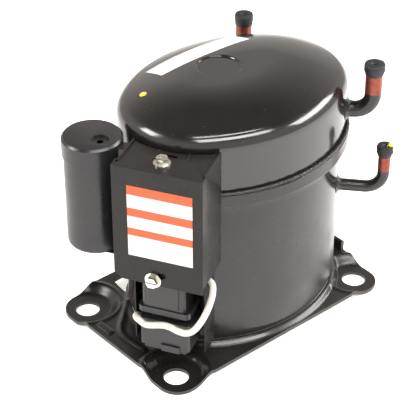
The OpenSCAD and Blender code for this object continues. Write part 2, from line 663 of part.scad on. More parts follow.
// ---- Crankcase and crank ----
block_x0 = 28;
crown_reach = 50;
block_x1 = throw + crown_reach + 2.2;
block_half = 22.5;
head_bolt_at = 16.5;
head_bolt_r = 2.4;
module at_head_bolts() {
    for (y = [-1, 1], z = [-1, 1]) translate([0, y * head_bolt_at, cyl_z + z * head_bolt_at])
        rotate([0, 90, 0]) children();
}
module crankcase() color(iron) in_pump() difference() {
    union() {
        translate([-56, -37, plate_z]) cube([112, 74, deck_z - plate_z]);
        translate([0, 0, core_top + 4]) cylinder(r = 14, h = deck_z - core_top - 4);
        for (x = [-1, 1], y = [-1, 1]) translate([x * spring_x, y * spring_y, core_top])
            cylinder(r = 6, h = plate_z - core_top + 1);
        translate([block_x0, -block_half, plate_z + 1])
            cube([block_x1 - block_x0, 2 * block_half, cyl_z + block_half - plate_z - 1]);
    }
    translate([0, 0, core_top]) cylinder(r = shaft_d / 2 + run_gap, h = 60);
    translate([block_x0 - 1, 0, cyl_z]) rotate([0, 90, 0])
        cylinder(r = piston_d / 2 + run_gap, h = block_x1 - block_x0 + 2);
    for (x = [-1, 1], y = [-1, 1]) translate([x * spring_x, y * spring_y, core_top - 1])
        cylinder(r = bolt_r + 0.2, h = 40);
    translate([block_x1 - 14, 0, 0]) at_head_bolts() cylinder(r = head_bolt_r + 0.05, h = 20);
    for (x = [-40, 16]) translate([x, -14, plate_z - 1]) cube([10, 28, 12]);
}
washer_t = 1.6;
cheek_z = deck_z + washer_t + 0.2;
cheek_t = cyl_z - max(block_d / 2 + yoke_t, piston_d / 2) - 0.6 - cheek_z;
pin_top = cyl_z + sqrt(pow(block_d / 2, 2) - pow(shaft_d / 2, 2)) - 0.5;
gallery_r = 1.85;
module thrust_washer() color(brass) in_pump() translate([0, 0, deck_z]) ring(shaft_d / 2 + 0.3, 14, washer_t);
module crankshaft() color(steel) in_pump() difference() {
    union() {
        translate([0, 0, 24]) cylinder(d = shaft_d, h = cheek_z - 24 + 1);
        translate([0, 0, cheek_z]) cylinder(r = 13, h = cheek_t);
        translate([-throw, 0, cheek_z]) cylinder(r = 11, h = cheek_t);
        translate([0, 0, cheek_z]) intersection() {
            cylinder(r = 26, h = cheek_t);
            translate([2, -30, 0]) cube([30, 60, cheek_t]);
        }
        translate([-throw, 0, cheek_z]) cylinder(d = shaft_d, h = pin_top - cheek_z);
    }
    translate([-throw / 2, 0, 20]) cylinder(r = gallery_r, h = pin_top);
    translate([0, 0, 23]) cylinder(r = 5, h = 12);
}
module oil_plug() color(brass) in_pump() translate([-throw / 2, 0, pin_top - 6])
    cylinder(r = gallery_r - 0.05, h = 5.8);
module oil_pickup() color(steel) in_pump() difference() {
    union() {
        translate([0, 0, 12]) cylinder(r1 = 3.4, r2 = 7.6, h = 11.95);
        translate([0, 0, 23.9]) cylinder(r = 4.93, h = 9);
    }
    translate([0, 0, 11]) cylinder(r = 2, h = 16);
    translate([0, 0, 26]) cylinder(r = 3.6, h = 8);
}

// ---- Slider, yoke and piston, at the far end of the stroke ----
yoke_r = block_d / 2 + yoke_t;
yoke_half = 29;
module slide_block() color(brass) in_pump() translate([-throw, 0, cyl_z]) difference() {
    rotate([90, 0, 0]) translate([0, 0, -14]) cylinder(d = block_d, h = 28);
    translate([0, 0, -block_d]) cylinder(r = shaft_d / 2 + run_gap, h = 2 * block_d);
}
module yoke() color(iron) in_pump() translate([-throw, 0, cyl_z]) difference() {
    rotate([90, 0, 0]) translate([0, 0, -yoke_half]) cylinder(r = yoke_r, h = 2 * yoke_half);
    rotate([90, 0, 0]) translate([0, 0, -40]) cylinder(r = block_d / 2 + run_gap, h = 80);
    translate([0, 0, -yoke_r - 1]) linear_extrude(yoke_r) polygon(round_rect(
        -shaft_d / 2 - 0.8, -throw - shaft_d / 2 - 0.8, shaft_d / 2 + 0.8, throw + shaft_d / 2 + 0.8, 6));
}
module piston() color(steel) in_pump() translate([-throw, 0, cyl_z]) difference() {
    translate([yoke_r - 6, 0, 0]) rotate([0, 90, 0])
        cylinder(d = piston_d, h = crown_reach - yoke_r + 6);
    rotate([90, 0, 0]) translate([0, 0, -40]) cylinder(r = yoke_r + 0.02, h = 80);
    translate([yoke_r - 8, 0, 0]) rotate([0, 90, 0]) cylinder(r = piston_d / 2 - 4, h = crown_reach - yoke_r + 3);
    for (x = [crown_reach - 5, crown_reach - 9]) translate([x, 0, 0]) rotate([0, 90, 0])
        ring(piston_d / 2 - 0.5, piston_d / 2 + 1, 0.8);
}

// ---- Valves and head ----
gasket_t = 0.5;
reed_t = 0.3;
vp_x = block_x1 + gasket_t;
hg_x = vp_x + valve_plate_t;
head_x = hg_x + gasket_t;
head_t = 11;
module head_sheet(x, t) {
    translate([x, -block_half, cyl_z - block_half]) cube([t, 2 * block_half, 2 * block_half]);
}
module head_bolt_holes(x) {
    translate([x, 0, 0]) at_head_bolts() cylinder(r = head_bolt_r + 0.05, h = 30);
}
module cylinder_gasket() color([0.3, 0.3, 0.28]) in_pump() difference() {
    head_sheet(block_x1, gasket_t);
    translate([block_x1 - 1, 0, cyl_z]) rotate([0, 90, 0]) cylinder(r = piston_d / 2 + 0.5, h = 4);
    head_bolt_holes(block_x1 - 1);
}
suction_port = [-7, -1];
discharge_port = [7, -1];
module valve_plate() color(iron) in_pump() difference() {
    head_sheet(vp_x, valve_plate_t);
    translate([vp_x - 1, suction_port[0], cyl_z + suction_port[1]]) rotate([0, 90, 0]) cylinder(r = 3.2, h = 8);
    translate([vp_x - 1, discharge_port[0], cyl_z + discharge_port[1]]) rotate([0, 90, 0]) cylinder(r = 2.8, h = 8);
    head_bolt_holes(vp_x - 1);
}
module reed_tongue(x, y) {
    translate([x, 0, cyl_z]) rotate([90, 0, 90]) linear_extrude(reed_t) union() {
        translate([y - 3, 0]) square([6, 12]);
        translate([y, -1]) circle(r = 4.2);
    }
}
module suction_reed() color(steel) in_pump() reed_tongue(vp_x - reed_t - 0.05, suction_port[0]);
module discharge_reed() color(steel) in_pump() reed_tongue(hg_x + 0.05, discharge_port[0]);
module valve_stop() color(iron) in_pump() translate([0, 0, cyl_z]) union() {
    translate([hg_x + 2.2, discharge_port[0] - 3.5, -5]) cube([1, 7, 19]);
    translate([hg_x, discharge_port[0] - 3.5, 13]) cube([3.2, 7, 3.4]);
}
module head_gasket() color([0.3, 0.3, 0.28]) in_pump() difference() {
    head_sheet(hg_x, gasket_t);
    head_chambers(hg_x - 1, 4);
    head_bolt_holes(hg_x - 1);
}
module head_chambers(x, depth) {
    for (y = [[-13.5, -1.2], [1.2, 13.5]]) translate([x, 0, cyl_z]) rotate([90, 0, 90])
        linear_extrude(depth) polygon(round_rect(y[0], -17.5, y[1], 17.5, 3));
}
module cylinder_head() color(iron) in_pump() difference() {
    head_sheet(head_x, head_t);
    head_chambers(head_x - 1, head_t - 2);
    head_bolt_holes(head_x - 1);
    translate([head_x + 4.5, -7, cyl_z - block_half - 1]) cylinder(r = 2.6, h = 8);
}
module head_bolts() color(steel) in_pump() translate([block_x1 - 12, 0, 0]) at_head_bolts() {
    cylinder(r = head_bolt_r, h = head_x + head_t - block_x1 + 12.5);
    translate([0, 0, head_x + head_t - block_x1 + 12]) hex_head(8, 3.5);
}
muffler_x0 = block_x1 + 0.4;
muffler_x1 = head_x + head_t + 1;
module suction_muffler() color(plastic) in_pump() difference() {
    union() {
        translate([0, 0, core_top + 1]) linear_extrude(28) polygon(round_rect(muffler_x0, -20, muffler_x1, 20, 4));
        translate([head_x + 4.5, -7, core_top + 28]) cylinder(r = 4.5, h = cyl_z - block_half - core_top - 28.2);
    }
    translate([0, 0, core_top + 3]) linear_extrude(24) polygon(round_rect(muffler_x0 + 2, -18, muffler_x1 - 2, 18, 3));
    translate([head_x + 4.5, -7, core_top + 26]) cylinder(r = 2.6, h = 20);
    translate([muffler_x0 + 7, 12, core_top + 26]) cylinder(r = 3.5, h = 8);
}
muffler_x = 45;
muffler_z = cyl_z + block_half;
module discharge_muffler() color(iron) in_pump() difference() {
    union() {
        translate([muffler_x, 0, muffler_z + 0.1]) cylinder(r = 15.5, h = 13);
        translate([muffler_x, -12, muffler_z + 8]) rotate([90, 0, 0]) cylinder(r = 4, h = 6);
    }
    translate([muffler_x, 0, muffler_z - 1]) cylinder(r = 13.5, h = 12);
    translate([muffler_x, -10, muffler_z + 8]) rotate([90, 0, 0]) cylinder(r = 2.6, h = 10);
}
loop_r = 2.4;
tube_end = end_r - lower_in - shell_t - 4;
loop_end = [oval_c1 + tube_end * cos(service_angle), tube_end * sin(service_angle), discharge_z];
loop_path = [[muffler_x, -14, muffler_z + 8], [muffler_x, -19, muffler_z + 8], [44, -25, muffler_z + 8.4],
    [42, -32, 175], [39, -39, 168], [37, -44, 158], [38, -47, 148], [42, -48, 140], [48, -47.5, 131],
    [53, -45.5, 122], [57, -42, 113], [60, -38.5, 105],
    [loop_end[0] - 3.2, loop_end[1] + 3.8, loop_end[2] + 4],
    [loop_end[0] - 1.6, loop_end[1] + 1.9, loop_end[2] + 0.6], loop_end];
module discharge_loop() color(steel) in_pump() path_tube(loop_path, loop_r, 8);

// ---- Motor leads inside the shell ----
connector_y = header_y + 7.5;
module motor_connector() color([0.85, 0.82, 0.75]) difference() {
    in_box() plan_block(-12, connector_y, 12, connector_y + 8, 2, header_z - 11, header_z + 9);
    at_header(connector_y - 1) at_pins() cylinder(r = pin_r + 0.05, h = 5.2);
}
module motor_leads() color([0.2, 0.3, 0.6]) in_box() path_tube(motor_lead_path, 2, 8);
motor_lead_path = [[0, 49.8, 81.25], [0, 50.3, 88], [0.5, 54, 96], [1, 60, 100.5], [1.5, 68, 101.5],
    [2, 79.3, 101.5]];

base_plate();
lower_shell();
upper_shell();
weld_bead();
suction_tube();
discharge_tube();
process_tube();
suction_plug();
discharge_plug();
process_plug();
terminal_header();
terminal_glass();
terminal_pins();
terminal_bracket();
control_box();
terminal_cover();
cover_screws();
cover_label();
dome_label();
start_relay();
overload_protector();
jumper_lead();
start_capacitor();
capacitor_cap();
capacitor_terminals();
capacitor_bracket();
spring_seats();
suspension_springs();
stator_core();
stator_winding();
motor_bolts();
motor_nuts();
motor_connector();
motor_leads();
crankcase();
thrust_washer();
crankshaft();
rotor();
balance_weight();
oil_pickup();
oil_plug();
slide_block();
yoke();
piston();
cylinder_gasket();
suction_reed();
valve_plate();
discharge_reed();
valve_stop();
head_gasket();
cylinder_head();
head_bolts();
suction_muffler();
discharge_muffler();
discharge_loop();
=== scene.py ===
import math
from collections import namedtuple

import bmesh
import bpy
import mathutils
import numpy as np
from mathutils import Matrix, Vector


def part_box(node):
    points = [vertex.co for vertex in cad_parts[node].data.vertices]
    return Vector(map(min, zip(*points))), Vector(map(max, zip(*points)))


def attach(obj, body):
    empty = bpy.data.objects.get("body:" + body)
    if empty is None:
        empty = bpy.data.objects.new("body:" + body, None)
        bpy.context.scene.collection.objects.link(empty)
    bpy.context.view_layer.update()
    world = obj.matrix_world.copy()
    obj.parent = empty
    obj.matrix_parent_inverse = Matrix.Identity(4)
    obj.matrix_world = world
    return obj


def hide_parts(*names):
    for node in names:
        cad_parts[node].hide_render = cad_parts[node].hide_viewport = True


bl_info = {
    "name": "Hermetic Compressor",
    "version": (1, 0, 0),
    "blender": (4, 5, 0),
    "location": "View3D > Sidebar > Compressor",
    "description": "Enamelled shells, stubs, terminal box and capacitor of a sealed compressor",
    "category": "Object",
}

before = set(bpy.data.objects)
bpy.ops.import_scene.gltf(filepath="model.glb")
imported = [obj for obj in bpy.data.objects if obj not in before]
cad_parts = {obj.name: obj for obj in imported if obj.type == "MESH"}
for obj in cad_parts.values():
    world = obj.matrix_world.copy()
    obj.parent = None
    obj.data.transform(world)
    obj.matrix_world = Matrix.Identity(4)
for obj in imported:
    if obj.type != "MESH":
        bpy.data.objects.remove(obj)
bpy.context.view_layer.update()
MM = 0.001


def node_box(node):
    """Lowest and highest corner of a CAD node, in millimetres."""
    low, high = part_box(node)
    return np.array(low) / MM, np.array(high) / MM


# ---- Driving dimensions, in millimetres ----
SHELL_LOW, SHELL_HIGH = node_box("upper_shell")
BOWL_LOW, BOWL_HIGH = node_box("lower_shell")
SHELL_X = (SHELL_LOW[0] + SHELL_HIGH[0]) / 2
HALF_L = (SHELL_HIGH[0] - SHELL_LOW[0]) / 2
HALF_W = (SHELL_HIGH[1] - SHELL_LOW[1]) / 2
END_R = 61.5
WALL = 2.8
LOWER_IN = 4.0  # how far the lower wall stands inside the upper one
BELT_OUT = WALL + 0.2  # the belt goes round the upper shell with this offset
SEAM_Z = BOWL_HIGH[2]
LEDGE_Z = SEAM_Z - 10
BELT_STEP = 6.0  # height over which the lower wall steps out to the belt
BOWL_Z = BOWL_LOW[2]
BOWL_R = 16.0
TOP_Z = SHELL_HIGH[2]
SHOULDER_R = 13.0
CROWN_R = 110.0
CROWN_IN = 56.0  # the crown's arc ends here, and the top is flat further in
RECESS = np.array([3.0 - SHELL_X, 9.0])
RECESS_R = 16.7
RECESS_DEPTH = 1.4
UP = np.array([0.0, 0.0, 1.0])

# Four tangent arcs make the oval: two ends of END_R and two sides of SIDE_R
END_X = HALF_L - END_R
SIDE_R = (END_X**2 + HALF_W**2 - END_R**2) / (2 * (HALF_W - END_R))
SIDE_Y = SIDE_R - HALF_W
SIDE_HALF = math.atan2(END_X, SIDE_Y)
END_HALF = math.pi / 2 - SIDE_HALF
CROWN_TURN = math.asin((CROWN_IN - SHOULDER_R) / (CROWN_R - SHOULDER_R))
SHOULDER_Z = TOP_Z - CROWN_R + (CROWN_R - SHOULDER_R) * math.cos(CROWN_TURN)

# Terminal box: place of its front face and its turn about the vertical
BOX_PLACE = np.array([-105.0, -50.0])
BOX_TURN = math.radians(-61)


# ---- Curves and surfaces ----
def oval_angles(count):
    """Normal directions round the oval, spread so that the steps along it are nearly even."""
    ends = 2 * END_HALF * END_R
    sides = 2 * SIDE_HALF * SIDE_R
    per_end = max(4, round(count / 2 * ends / (ends + sides)))
    per_side = max(4, round(count / 2) - per_end)
    half = np.concatenate([
        np.linspace(-END_HALF, END_HALF, per_end, endpoint=False),
        np.linspace(END_HALF, math.pi - END_HALF, per_side, endpoint=False)])
    return np.concatenate([half, half + math.pi])


def oval(angle, off):
    """The point whose outward normal has this angle: the arc's centre plus (radius + off) times
    (cos angle, sin angle). Measured from the shell's middle."""
    c, s = np.cos(angle), np.sin(angle)
    at_end = np.abs(s) <= math.sin(END_HALF) + 1e-9
    cx = np.where(at_end, END_X * np.sign(c), 0.0)
    cy = np.where(at_end, 0.0, -SIDE_Y * np.sign(s))
    r = np.where(at_end, END_R, SIDE_R) + off
    return np.stack([cx + r * c, cy + r * s], axis=-1)


def oval_depth(p):
    """Distance inwards from the oval: the arc's radius less the distance to the arc's centre."""
    x, y = np.abs(p[..., 0]), np.abs(p[..., 1])
    at_end = (x > END_X) & (np.arctan2(y, np.abs(x - END_X)) < END_HALF)
    end = END_R - np.hypot(x - END_X, y)
    side = SIDE_R - np.hypot(x, y + SIDE_Y)
    return np.where(at_end, end, side)


def dome_z(depth):
    """Height of the dome: the shoulder's arc near the wall, then the crown's arc, then flat."""
    flat = np.maximum(CROWN_IN - depth, 0)
    crown = TOP_Z - CROWN_R + np.sqrt(np.maximum(CROWN_R**2 - flat**2, 0))
    over = np.clip(SHOULDER_R - depth, 0, SHOULDER_R)
    shoulder = SHOULDER_Z + np.sqrt(np.maximum(SHOULDER_R**2 - over**2, 0))
    return np.where(depth < SHOULDER_R * (1 - math.sin(CROWN_TURN)), shoulder, crown)


def smooth_step(x, a, b):
    """Rises from 0 at a to 1 at b as 3t^2 - 2t^3."""
    t = np.clip((x - a) / (b - a), 0, 1)
    return t * t * (3 - 2 * t)


def carry_round(angle, profile):
    """A profile of (offset from the oval, height) carried round the shell: a grid of points."""
    profile = np.asarray(profile, float)
    flat = oval(angle[:, None], profile[None, :, 0])
    z = np.broadcast_to(profile[None, :, 1], flat.shape[:2])
    return np.dstack([flat[..., 0] + SHELL_X, flat[..., 1], z])


def arc(centre, r, a0, a1, n):
    """Points centre + r (cos a, sin a) for n + 1 angles from a0 to a1, in degrees."""
    a = np.radians(np.linspace(a0, a1, n + 1))
    return np.stack([centre[0] + r * np.cos(a), centre[1] + r * np.sin(a)], axis=-1)


def spline(points, per_span):
    """A Catmull-Rom curve: each span is a cubic, with slopes taken from its neighbours."""
    p = np.asarray(points, float)
    p = np.vstack([2 * p[0] - p[1], p, 2 * p[-1] - p[-2]])
    t = np.linspace(0, 1, per_span, endpoint=False)[:, None]
    spans = [0.5 * (2 * b + (c - a) * t + (2 * a - 5 * b + 4 * c - d) * t**2
                    + (3 * b - a - 3 * c + d) * t**3)
             for a, b, c, d in zip(p[:-3], p[1:-2], p[2:-1], p[3:])]
    return np.vstack(spans + [p[-2]])


def sweep(path, radii, sides=24, turn=None):
    """Circles of the given radii carried along a path: each point is the path's point plus r times
    (cos a N + sin a B), with N and B kept from twisting by taking N across a fixed direction."""
    path = np.asarray(path, float)
    tangent = np.gradient(path, axis=0)
    tangent /= np.linalg.norm(tangent, axis=1, keepdims=True)
    n = np.cross(tangent, UP if turn is None else turn)
    n /= np.linalg.norm(n, axis=1, keepdims=True)
    b = np.cross(tangent, n)
    a = np.linspace(0, 2 * math.pi, sides, endpoint=False)
    radii = np.broadcast_to(np.asarray(radii, float), (len(path),))
    ring = np.cos(a)[None, :, None] * n[:, None] + np.sin(a)[None, :, None] * b[:, None]
    return path[:, None] + radii[:, None, None] * ring


def lathe(profile, centre, sides=96):
    """A profile of (radius, height) turned about a vertical axis through centre."""
    profile = np.asarray(profile, float)
    a = np.linspace(0, 2 * math.pi, sides, endpoint=False)
    r = profile[None, :, 0]
    grid = np.dstack([r * np.cos(a)[:, None], r * np.sin(a)[:, None],
                      np.broadcast_to(profile[None, :, 1], (sides, len(profile)))])
    return grid + np.asarray(centre, float)


def box_to_world(points):
    """Box axes (along the front, inwards, up) turned and moved to the compressor's own axes."""
    p = np.asarray(points, float)
    c, s = math.cos(BOX_TURN), math.sin(BOX_TURN)
    x = BOX_PLACE[0] + c * p[..., 0] - s * p[..., 1]
    y = BOX_PLACE[1] + s * p[..., 0] + c * p[..., 1]
    return np.stack([x, y, p[..., 2]], axis=-1)


# ---- Meshes ----
def grid_faces(rows, cols, wrap_rows, wrap_cols, start=0):
    """Four-cornered faces of a grid, joined to its first row or column where it closes."""
    i = np.arange(rows if wrap_rows else rows - 1)
    j = np.arange(cols if wrap_cols else cols - 1)
    i, j = np.meshgrid(i, j, indexing="ij")
    i2, j2 = (i + 1) % rows, (j + 1) % cols
    corners = np.stack([i * cols + j, i2 * cols + j, i2 * cols + j2, i * cols + j2], axis=-1)
    return corners.reshape(-1, 4) + start


def mesh_from_grids(name, grids):
    """One mesh from several grids, each (points, closes along rows, closes along columns)."""
    verts, faces, start = [], [], 0
    for points, wrap_rows, wrap_cols in grids:
        rows, cols = points.shape[:2]
        faces.append(grid_faces(rows, cols, wrap_rows, wrap_cols, start))
        verts.append(points.reshape(-1, 3))
        start += rows * cols
    verts, faces = np.vstack(verts) * MM, np.vstack(faces)
    mesh = bpy.data.meshes.new(name)
    mesh.vertices.add(len(verts))
    mesh.vertices.foreach_set("co", verts.ravel())
    mesh.loops.add(faces.size)
    mesh.loops.foreach_set("vertex_index", faces.ravel().astype(np.int32))
    mesh.polygons.add(len(faces))
    mesh.polygons.foreach_set("loop_start", np.arange(0, faces.size, 4, dtype=np.int32))
    mesh.update(calc_edges=True)
    return mesh


def clean(mesh, merge=1e-6, flat_angle=None, close_ends=False):
    """Merges doubles, closes open ends if asked, and turns every face outwards."""
    bm = bmesh.new()
    bm.from_mesh(mesh)
    bmesh.ops.remove_doubles(bm, verts=bm.verts, dist=merge)
    if close_ends:
        bmesh.ops.holes_fill(bm, edges=[e for e in bm.edges if e.is_boundary], sides=0)
    if flat_angle:
        bmesh.ops.dissolve_limit(bm, angle_limit=flat_angle, verts=bm.verts, edges=bm.edges)
    bmesh.ops.recalc_face_normals(bm, faces=bm.faces)
    bm.to_mesh(mesh)
    bm.free()
    mesh.validate()


def add_piece(mesh, material, body, nodes=(), smooth=40):
    """Puts a mesh in the scene as a piece on a body, standing for the CAD nodes it replaces."""
    obj = bpy.data.objects.new(mesh.name, mesh)
    bpy.context.scene.collection.objects.link(obj)
    mesh.materials.append(material)
    mesh.polygons.foreach_set("use_smooth", np.ones(len(mesh.polygons), bool))
    mesh.set_sharp_from_angle(angle=math.radians(smooth))
    mesh.update()
    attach(obj, body)
    if nodes:
        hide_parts(*nodes)
    return obj


def surface(name, grids, material, body, nodes=(), smooth=40, close_ends=False):
    """A piece made of numpy grids."""
    mesh = mesh_from_grids(name, grids)
    clean(mesh, close_ends=close_ends)
    return add_piece(mesh, material, body, nodes, smooth)


def thicken(obj, depth):
    """Gives an open surface its wall, inwards."""
    solid = obj.modifiers.new("Wall", "SOLIDIFY")
    solid.thickness = depth * MM
    solid.offset = -1


def softened_copy(node, name, material, body, width, segments=3, smooth=35):
    """A pressed or moulded piece: the node's own faces, merged, with its edges rounded over."""
    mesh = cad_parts[node].data.copy()
    mesh.name = name
    mesh.materials.clear()
    clean(mesh, merge=2e-6, flat_angle=math.radians(0.6))
    obj = add_piece(mesh, material, body, (node,), smooth)
    bevel = obj.modifiers.new("Edges", "BEVEL")
    bevel.width = width * MM
    bevel.segments = segments
    bevel.limit_method = "ANGLE"
    bevel.angle_limit = math.radians(35)
    bevel.harden_normals = True
    return obj


# ---- Shared shader effects ----
def new_group(name, inputs, outputs):
    """A shader node group with named sockets and its two end nodes."""
    group = bpy.data.node_groups.new(name, "ShaderNodeTree")
    for label, kind, value in inputs:
        socket = group.interface.new_socket(label, in_out="INPUT", socket_type=kind)
        if value is not None:
            socket.default_value = value
    for label, kind in outputs:
        group.interface.new_socket(label, in_out="OUTPUT", socket_type=kind)
    return group, group.nodes.new("NodeGroupInput"), group.nodes.new("NodeGroupOutput")


def math_node(tree, operation, a, b=None, c=None, clamp=False):
    """A Math node fed by sockets or numbers."""
    node = tree.nodes.new("ShaderNodeMath")
    node.operation = operation
    node.use_clamp = clamp
    for socket, value in zip(node.inputs, (a, b, c)):
        if isinstance(value, bpy.types.NodeSocket):
            tree.links.new(value, socket)
        elif value is not None:
            socket.default_value = value
    return node.outputs[0]


def noise(tree, vector, scale, detail=3.0, roughness=0.5, distortion=0.0):
    """A noise texture fed by sockets or numbers."""
    node = tree.nodes.new("ShaderNodeTexNoise")
    node.inputs["Detail"].default_value = detail
    node.inputs["Roughness"].default_value = roughness
    node.inputs["Distortion"].default_value = distortion
    tree.links.new(vector, node.inputs["Vector"])
    if isinstance(scale, bpy.types.NodeSocket):
        tree.links.new(scale, node.inputs["Scale"])
    else:
        node.inputs["Scale"].default_value = scale
    return node.outputs["Fac"]


def spread(tree, value, low, high, out_low, out_high):
    """Maps a range of values onto another, held at its ends."""
    node = tree.nodes.new("ShaderNodeMapRange")
    tree.links.new(value, node.inputs["Value"])
    ends = (("From Min", low), ("From Max", high), ("To Min", out_low), ("To Max", out_high))
    for label, item in ends:
        if isinstance(item, bpy.types.NodeSocket):
            tree.links.new(item, node.inputs[label])
        else:
            node.inputs[label].default_value = item
    return node.outputs["Result"]


def blend(tree, factor, first, second):
    """A colour mix of two sockets or colours."""
    node = tree.nodes.new("ShaderNodeMix")
    node.data_type = "RGBA"
    sockets = [node.inputs[i] for i in (0, 6, 7)]  # factor and the two colours of an RGBA mix
    for socket, value in zip(sockets, (factor, first, second)):
        if isinstance(value, bpy.types.NodeSocket):
            tree.links.new(value, socket)
        else:
            socket.default_value = value
    return node.outputs[2]


def drift_group():
    """Slow change between two values over the surface, such as haze on enamel."""
    group, ins, outs = new_group(
        "Surface Drift",
        [("Vector", "NodeSocketVector", None), ("Scale", "NodeSocketFloat", 20.0),
         ("Low", "NodeSocketFloat", 0.2), ("High", "NodeSocketFloat", 0.5)],
        [("Value", "NodeSocketFloat"), ("Mask", "NodeSocketFloat")])
    cloud = noise(group, ins.outputs["Vector"], ins.outputs["Scale"], 4.0, 0.55, 0.3)
    mask = spread(group, cloud, 0.42, 0.66, 0.0, 1.0)
    value = spread(group, mask, 0.0, 1.0, ins.outputs["Low"], ins.outputs["High"])
    group.links.new(value, outs.inputs["Value"])
    group.links.new(mask, outs.inputs["Mask"])
    return group


def grain_group():
    """Fine unevenness as a height: paint peel, moulding grain or casting skin, by scale."""
    group, ins, outs = new_group(
        "Fine Grain",
        [("Vector", "NodeSocketVector", None), ("Scale", "NodeSocketFloat", 600.0),
         ("Wave", "NodeSocketFloat", 0.0)],
        [("Height", "NodeSocketFloat")])
    fine = noise(group, ins.outputs["Vector"], ins.outputs["Scale"], 2.0, 0.5)
    wide_scale = math_node(group, "MULTIPLY", ins.outputs["Scale"], 0.06)
    wide = noise(group, ins.outputs["Vector"], wide_scale, 1.0)
    height = math_node(group, "ADD", fine, math_node(group, "MULTIPLY", wide, ins.outputs["Wave"]))
    group.links.new(height, outs.inputs["Height"])
    return group


def speck_group():
    """Scattered small spots, such as dust or pits, as a mask."""
    group, ins, outs = new_group(
        "Specks",
        [("Vector", "NodeSocketVector", None), ("Scale", "NodeSocketFloat", 300.0),
         ("Share", "NodeSocketFloat", 0.1)],
        [("Mask", "NodeSocketFloat")])
    cells = group.nodes.new("ShaderNodeTexVoronoi")
    group.links.new(ins.outputs["Vector"], cells.inputs["Vector"])
    group.links.new(ins.outputs["Scale"], cells.inputs["Scale"])
    near = spread(group, cells.outputs["Distance"], 0.08, 0.22, 1.0, 0.0)
    pick = group.nodes.new("ShaderNodeSeparateColor")
    group.links.new(cells.outputs["Color"], pick.inputs[0])
    chosen = math_node(group, "LESS_THAN", pick.outputs[0], ins.outputs["Share"])
    group.links.new(math_node(group, "MULTIPLY", near, chosen), outs.inputs["Mask"])
    return group


def line_group():
    """1 above a height and 0 below it, with a ragged edge, such as where a coat of paint ends."""
    group, ins, outs = new_group(
        "Paint Line",
        [("Vector", "NodeSocketVector", None), ("Level", "NodeSocketFloat", 0.1),
         ("Ragged", "NodeSocketFloat", 0.001)],
        [("Mask", "NodeSocketFloat")])
    parts = group.nodes.new("ShaderNodeSeparateXYZ")
    group.links.new(ins.outputs["Vector"], parts.inputs[0])
    wobble = math_node(group, "SUBTRACT", noise(group, ins.outputs["Vector"], 260.0), 0.5)
    shift = math_node(group, "MULTIPLY", wobble, ins.outputs["Ragged"])
    height = math_node(group, "ADD", parts.outputs[2], shift)
    above = math_node(group, "SUBTRACT", height, ins.outputs["Level"])
    mask = math_node(group, "MULTIPLY", above, 4000.0, clamp=True)
    group.links.new(mask, outs.inputs["Mask"])
    return group


def spot_group():
    """A ragged round spot about a point, as a mask."""
    group, ins, outs = new_group(
        "Paint Spot",
        [("Vector", "NodeSocketVector", None), ("Centre", "NodeSocketVector", None),
         ("Radius", "NodeSocketFloat", 0.002)],
        [("Mask", "NodeSocketFloat")])
    gap = group.nodes.new("ShaderNodeVectorMath")
    gap.operation = "DISTANCE"
    group.links.new(ins.outputs["Vector"], gap.inputs[0])
    group.links.new(ins.outputs["Centre"], gap.inputs[1])
    wobble = math_node(group, "MULTIPLY", noise(group, ins.outputs["Vector"], 500.0), 0.0012)
    reach = math_node(group, "ADD", gap.outputs["Value"], wobble)
    inside = math_node(group, "SUBTRACT", ins.outputs["Radius"], reach)
    mask = math_node(group, "MULTIPLY", inside, 5000.0, clamp=True)
    group.links.new(mask, outs.inputs["Mask"])
    return group


GROUPS = {}


def shared(name):
    """A shared effect, built the first time it is used."""
    makers = {"drift": drift_group, "grain": grain_group, "specks": speck_group,
              "line": line_group, "spot": spot_group}
    if name not in GROUPS:
        GROUPS[name] = makers[name]()
    return GROUPS[name]


class Finish:
    """A material under construction: its tree, its Principled BSDF and its Object coordinates."""

    def __init__(self, name, colour, roughness, metallic=0.0, **sockets):
        self.material = bpy.data.materials.new(name)
        self.material.use_nodes = True
        self.tree = self.material.node_tree
        self.shader = self.tree.nodes["Principled BSDF"]
        self.shader.inputs["Base Color"].default_value = (*colour, 1)
        self.shader.inputs["Roughness"].default_value = roughness
        self.shader.inputs["Metallic"].default_value = metallic
        for label, value in sockets.items():
            self.shader.inputs[label.replace("_", " ")].default_value = value
        self.place = self.tree.nodes.new("ShaderNodeTexCoord").outputs["Object"]
        self.colour = (*colour, 1)
        self.material.diffuse_color = self.colour

    def effect(self, name, vector=None, **values):
        """Adds a shared effect with its own values."""
        node = self.tree.nodes.new("ShaderNodeGroup")
        node.node_tree = shared(name)
        self.tree.links.new(vector or self.place, node.inputs["Vector"])
        for label, value in values.items():
            node.inputs[label].default_value = value
        return node.outputs

    def stretched(self, x, y, z):
        """Object coordinates scaled along each axis, for grain that runs one way."""
        node = self.tree.nodes.new("ShaderNodeMapping")
        node.inputs["Scale"].default_value = (x, y, z)
        self.tree.links.new(self.place, node.inputs["Vector"])
        return node.outputs[0]

    def feed(self, label, socket):
        """Links a socket to the shader."""
        self.tree.links.new(socket, self.shader.inputs[label])
        return self

    def paint(self, mask, colour):
        """Lays a colour over what the material has so far, where the mask is 1."""
        self.colour = blend(self.tree, mask, self.colour, (*colour, 1))
        return self.feed("Base Color", self.colour)

    def rough(self, low, high, scale):
        """Roughness that drifts between two values."""
        self.feed("Roughness", self.effect("drift", Scale=scale, Low=low, High=high)["Value"])
        return self

    def bump(self, height, distance, strength=1.0):
        """Bump from a height."""
        node = self.tree.nodes.new("ShaderNodeBump")
        node.inputs["Distance"].default_value = distance * MM
        node.inputs["Strength"].default_value = strength
        self.tree.links.new(height, node.inputs["Height"])
        return self.feed("Normal", node.outputs[0])

    def grain(self, scale, distance, wave=0.0, vector=None):
        """Bump from the shared grain."""
        return self.bump(self.effect("grain", vector, Scale=scale, Wave=wave)["Height"], distance)


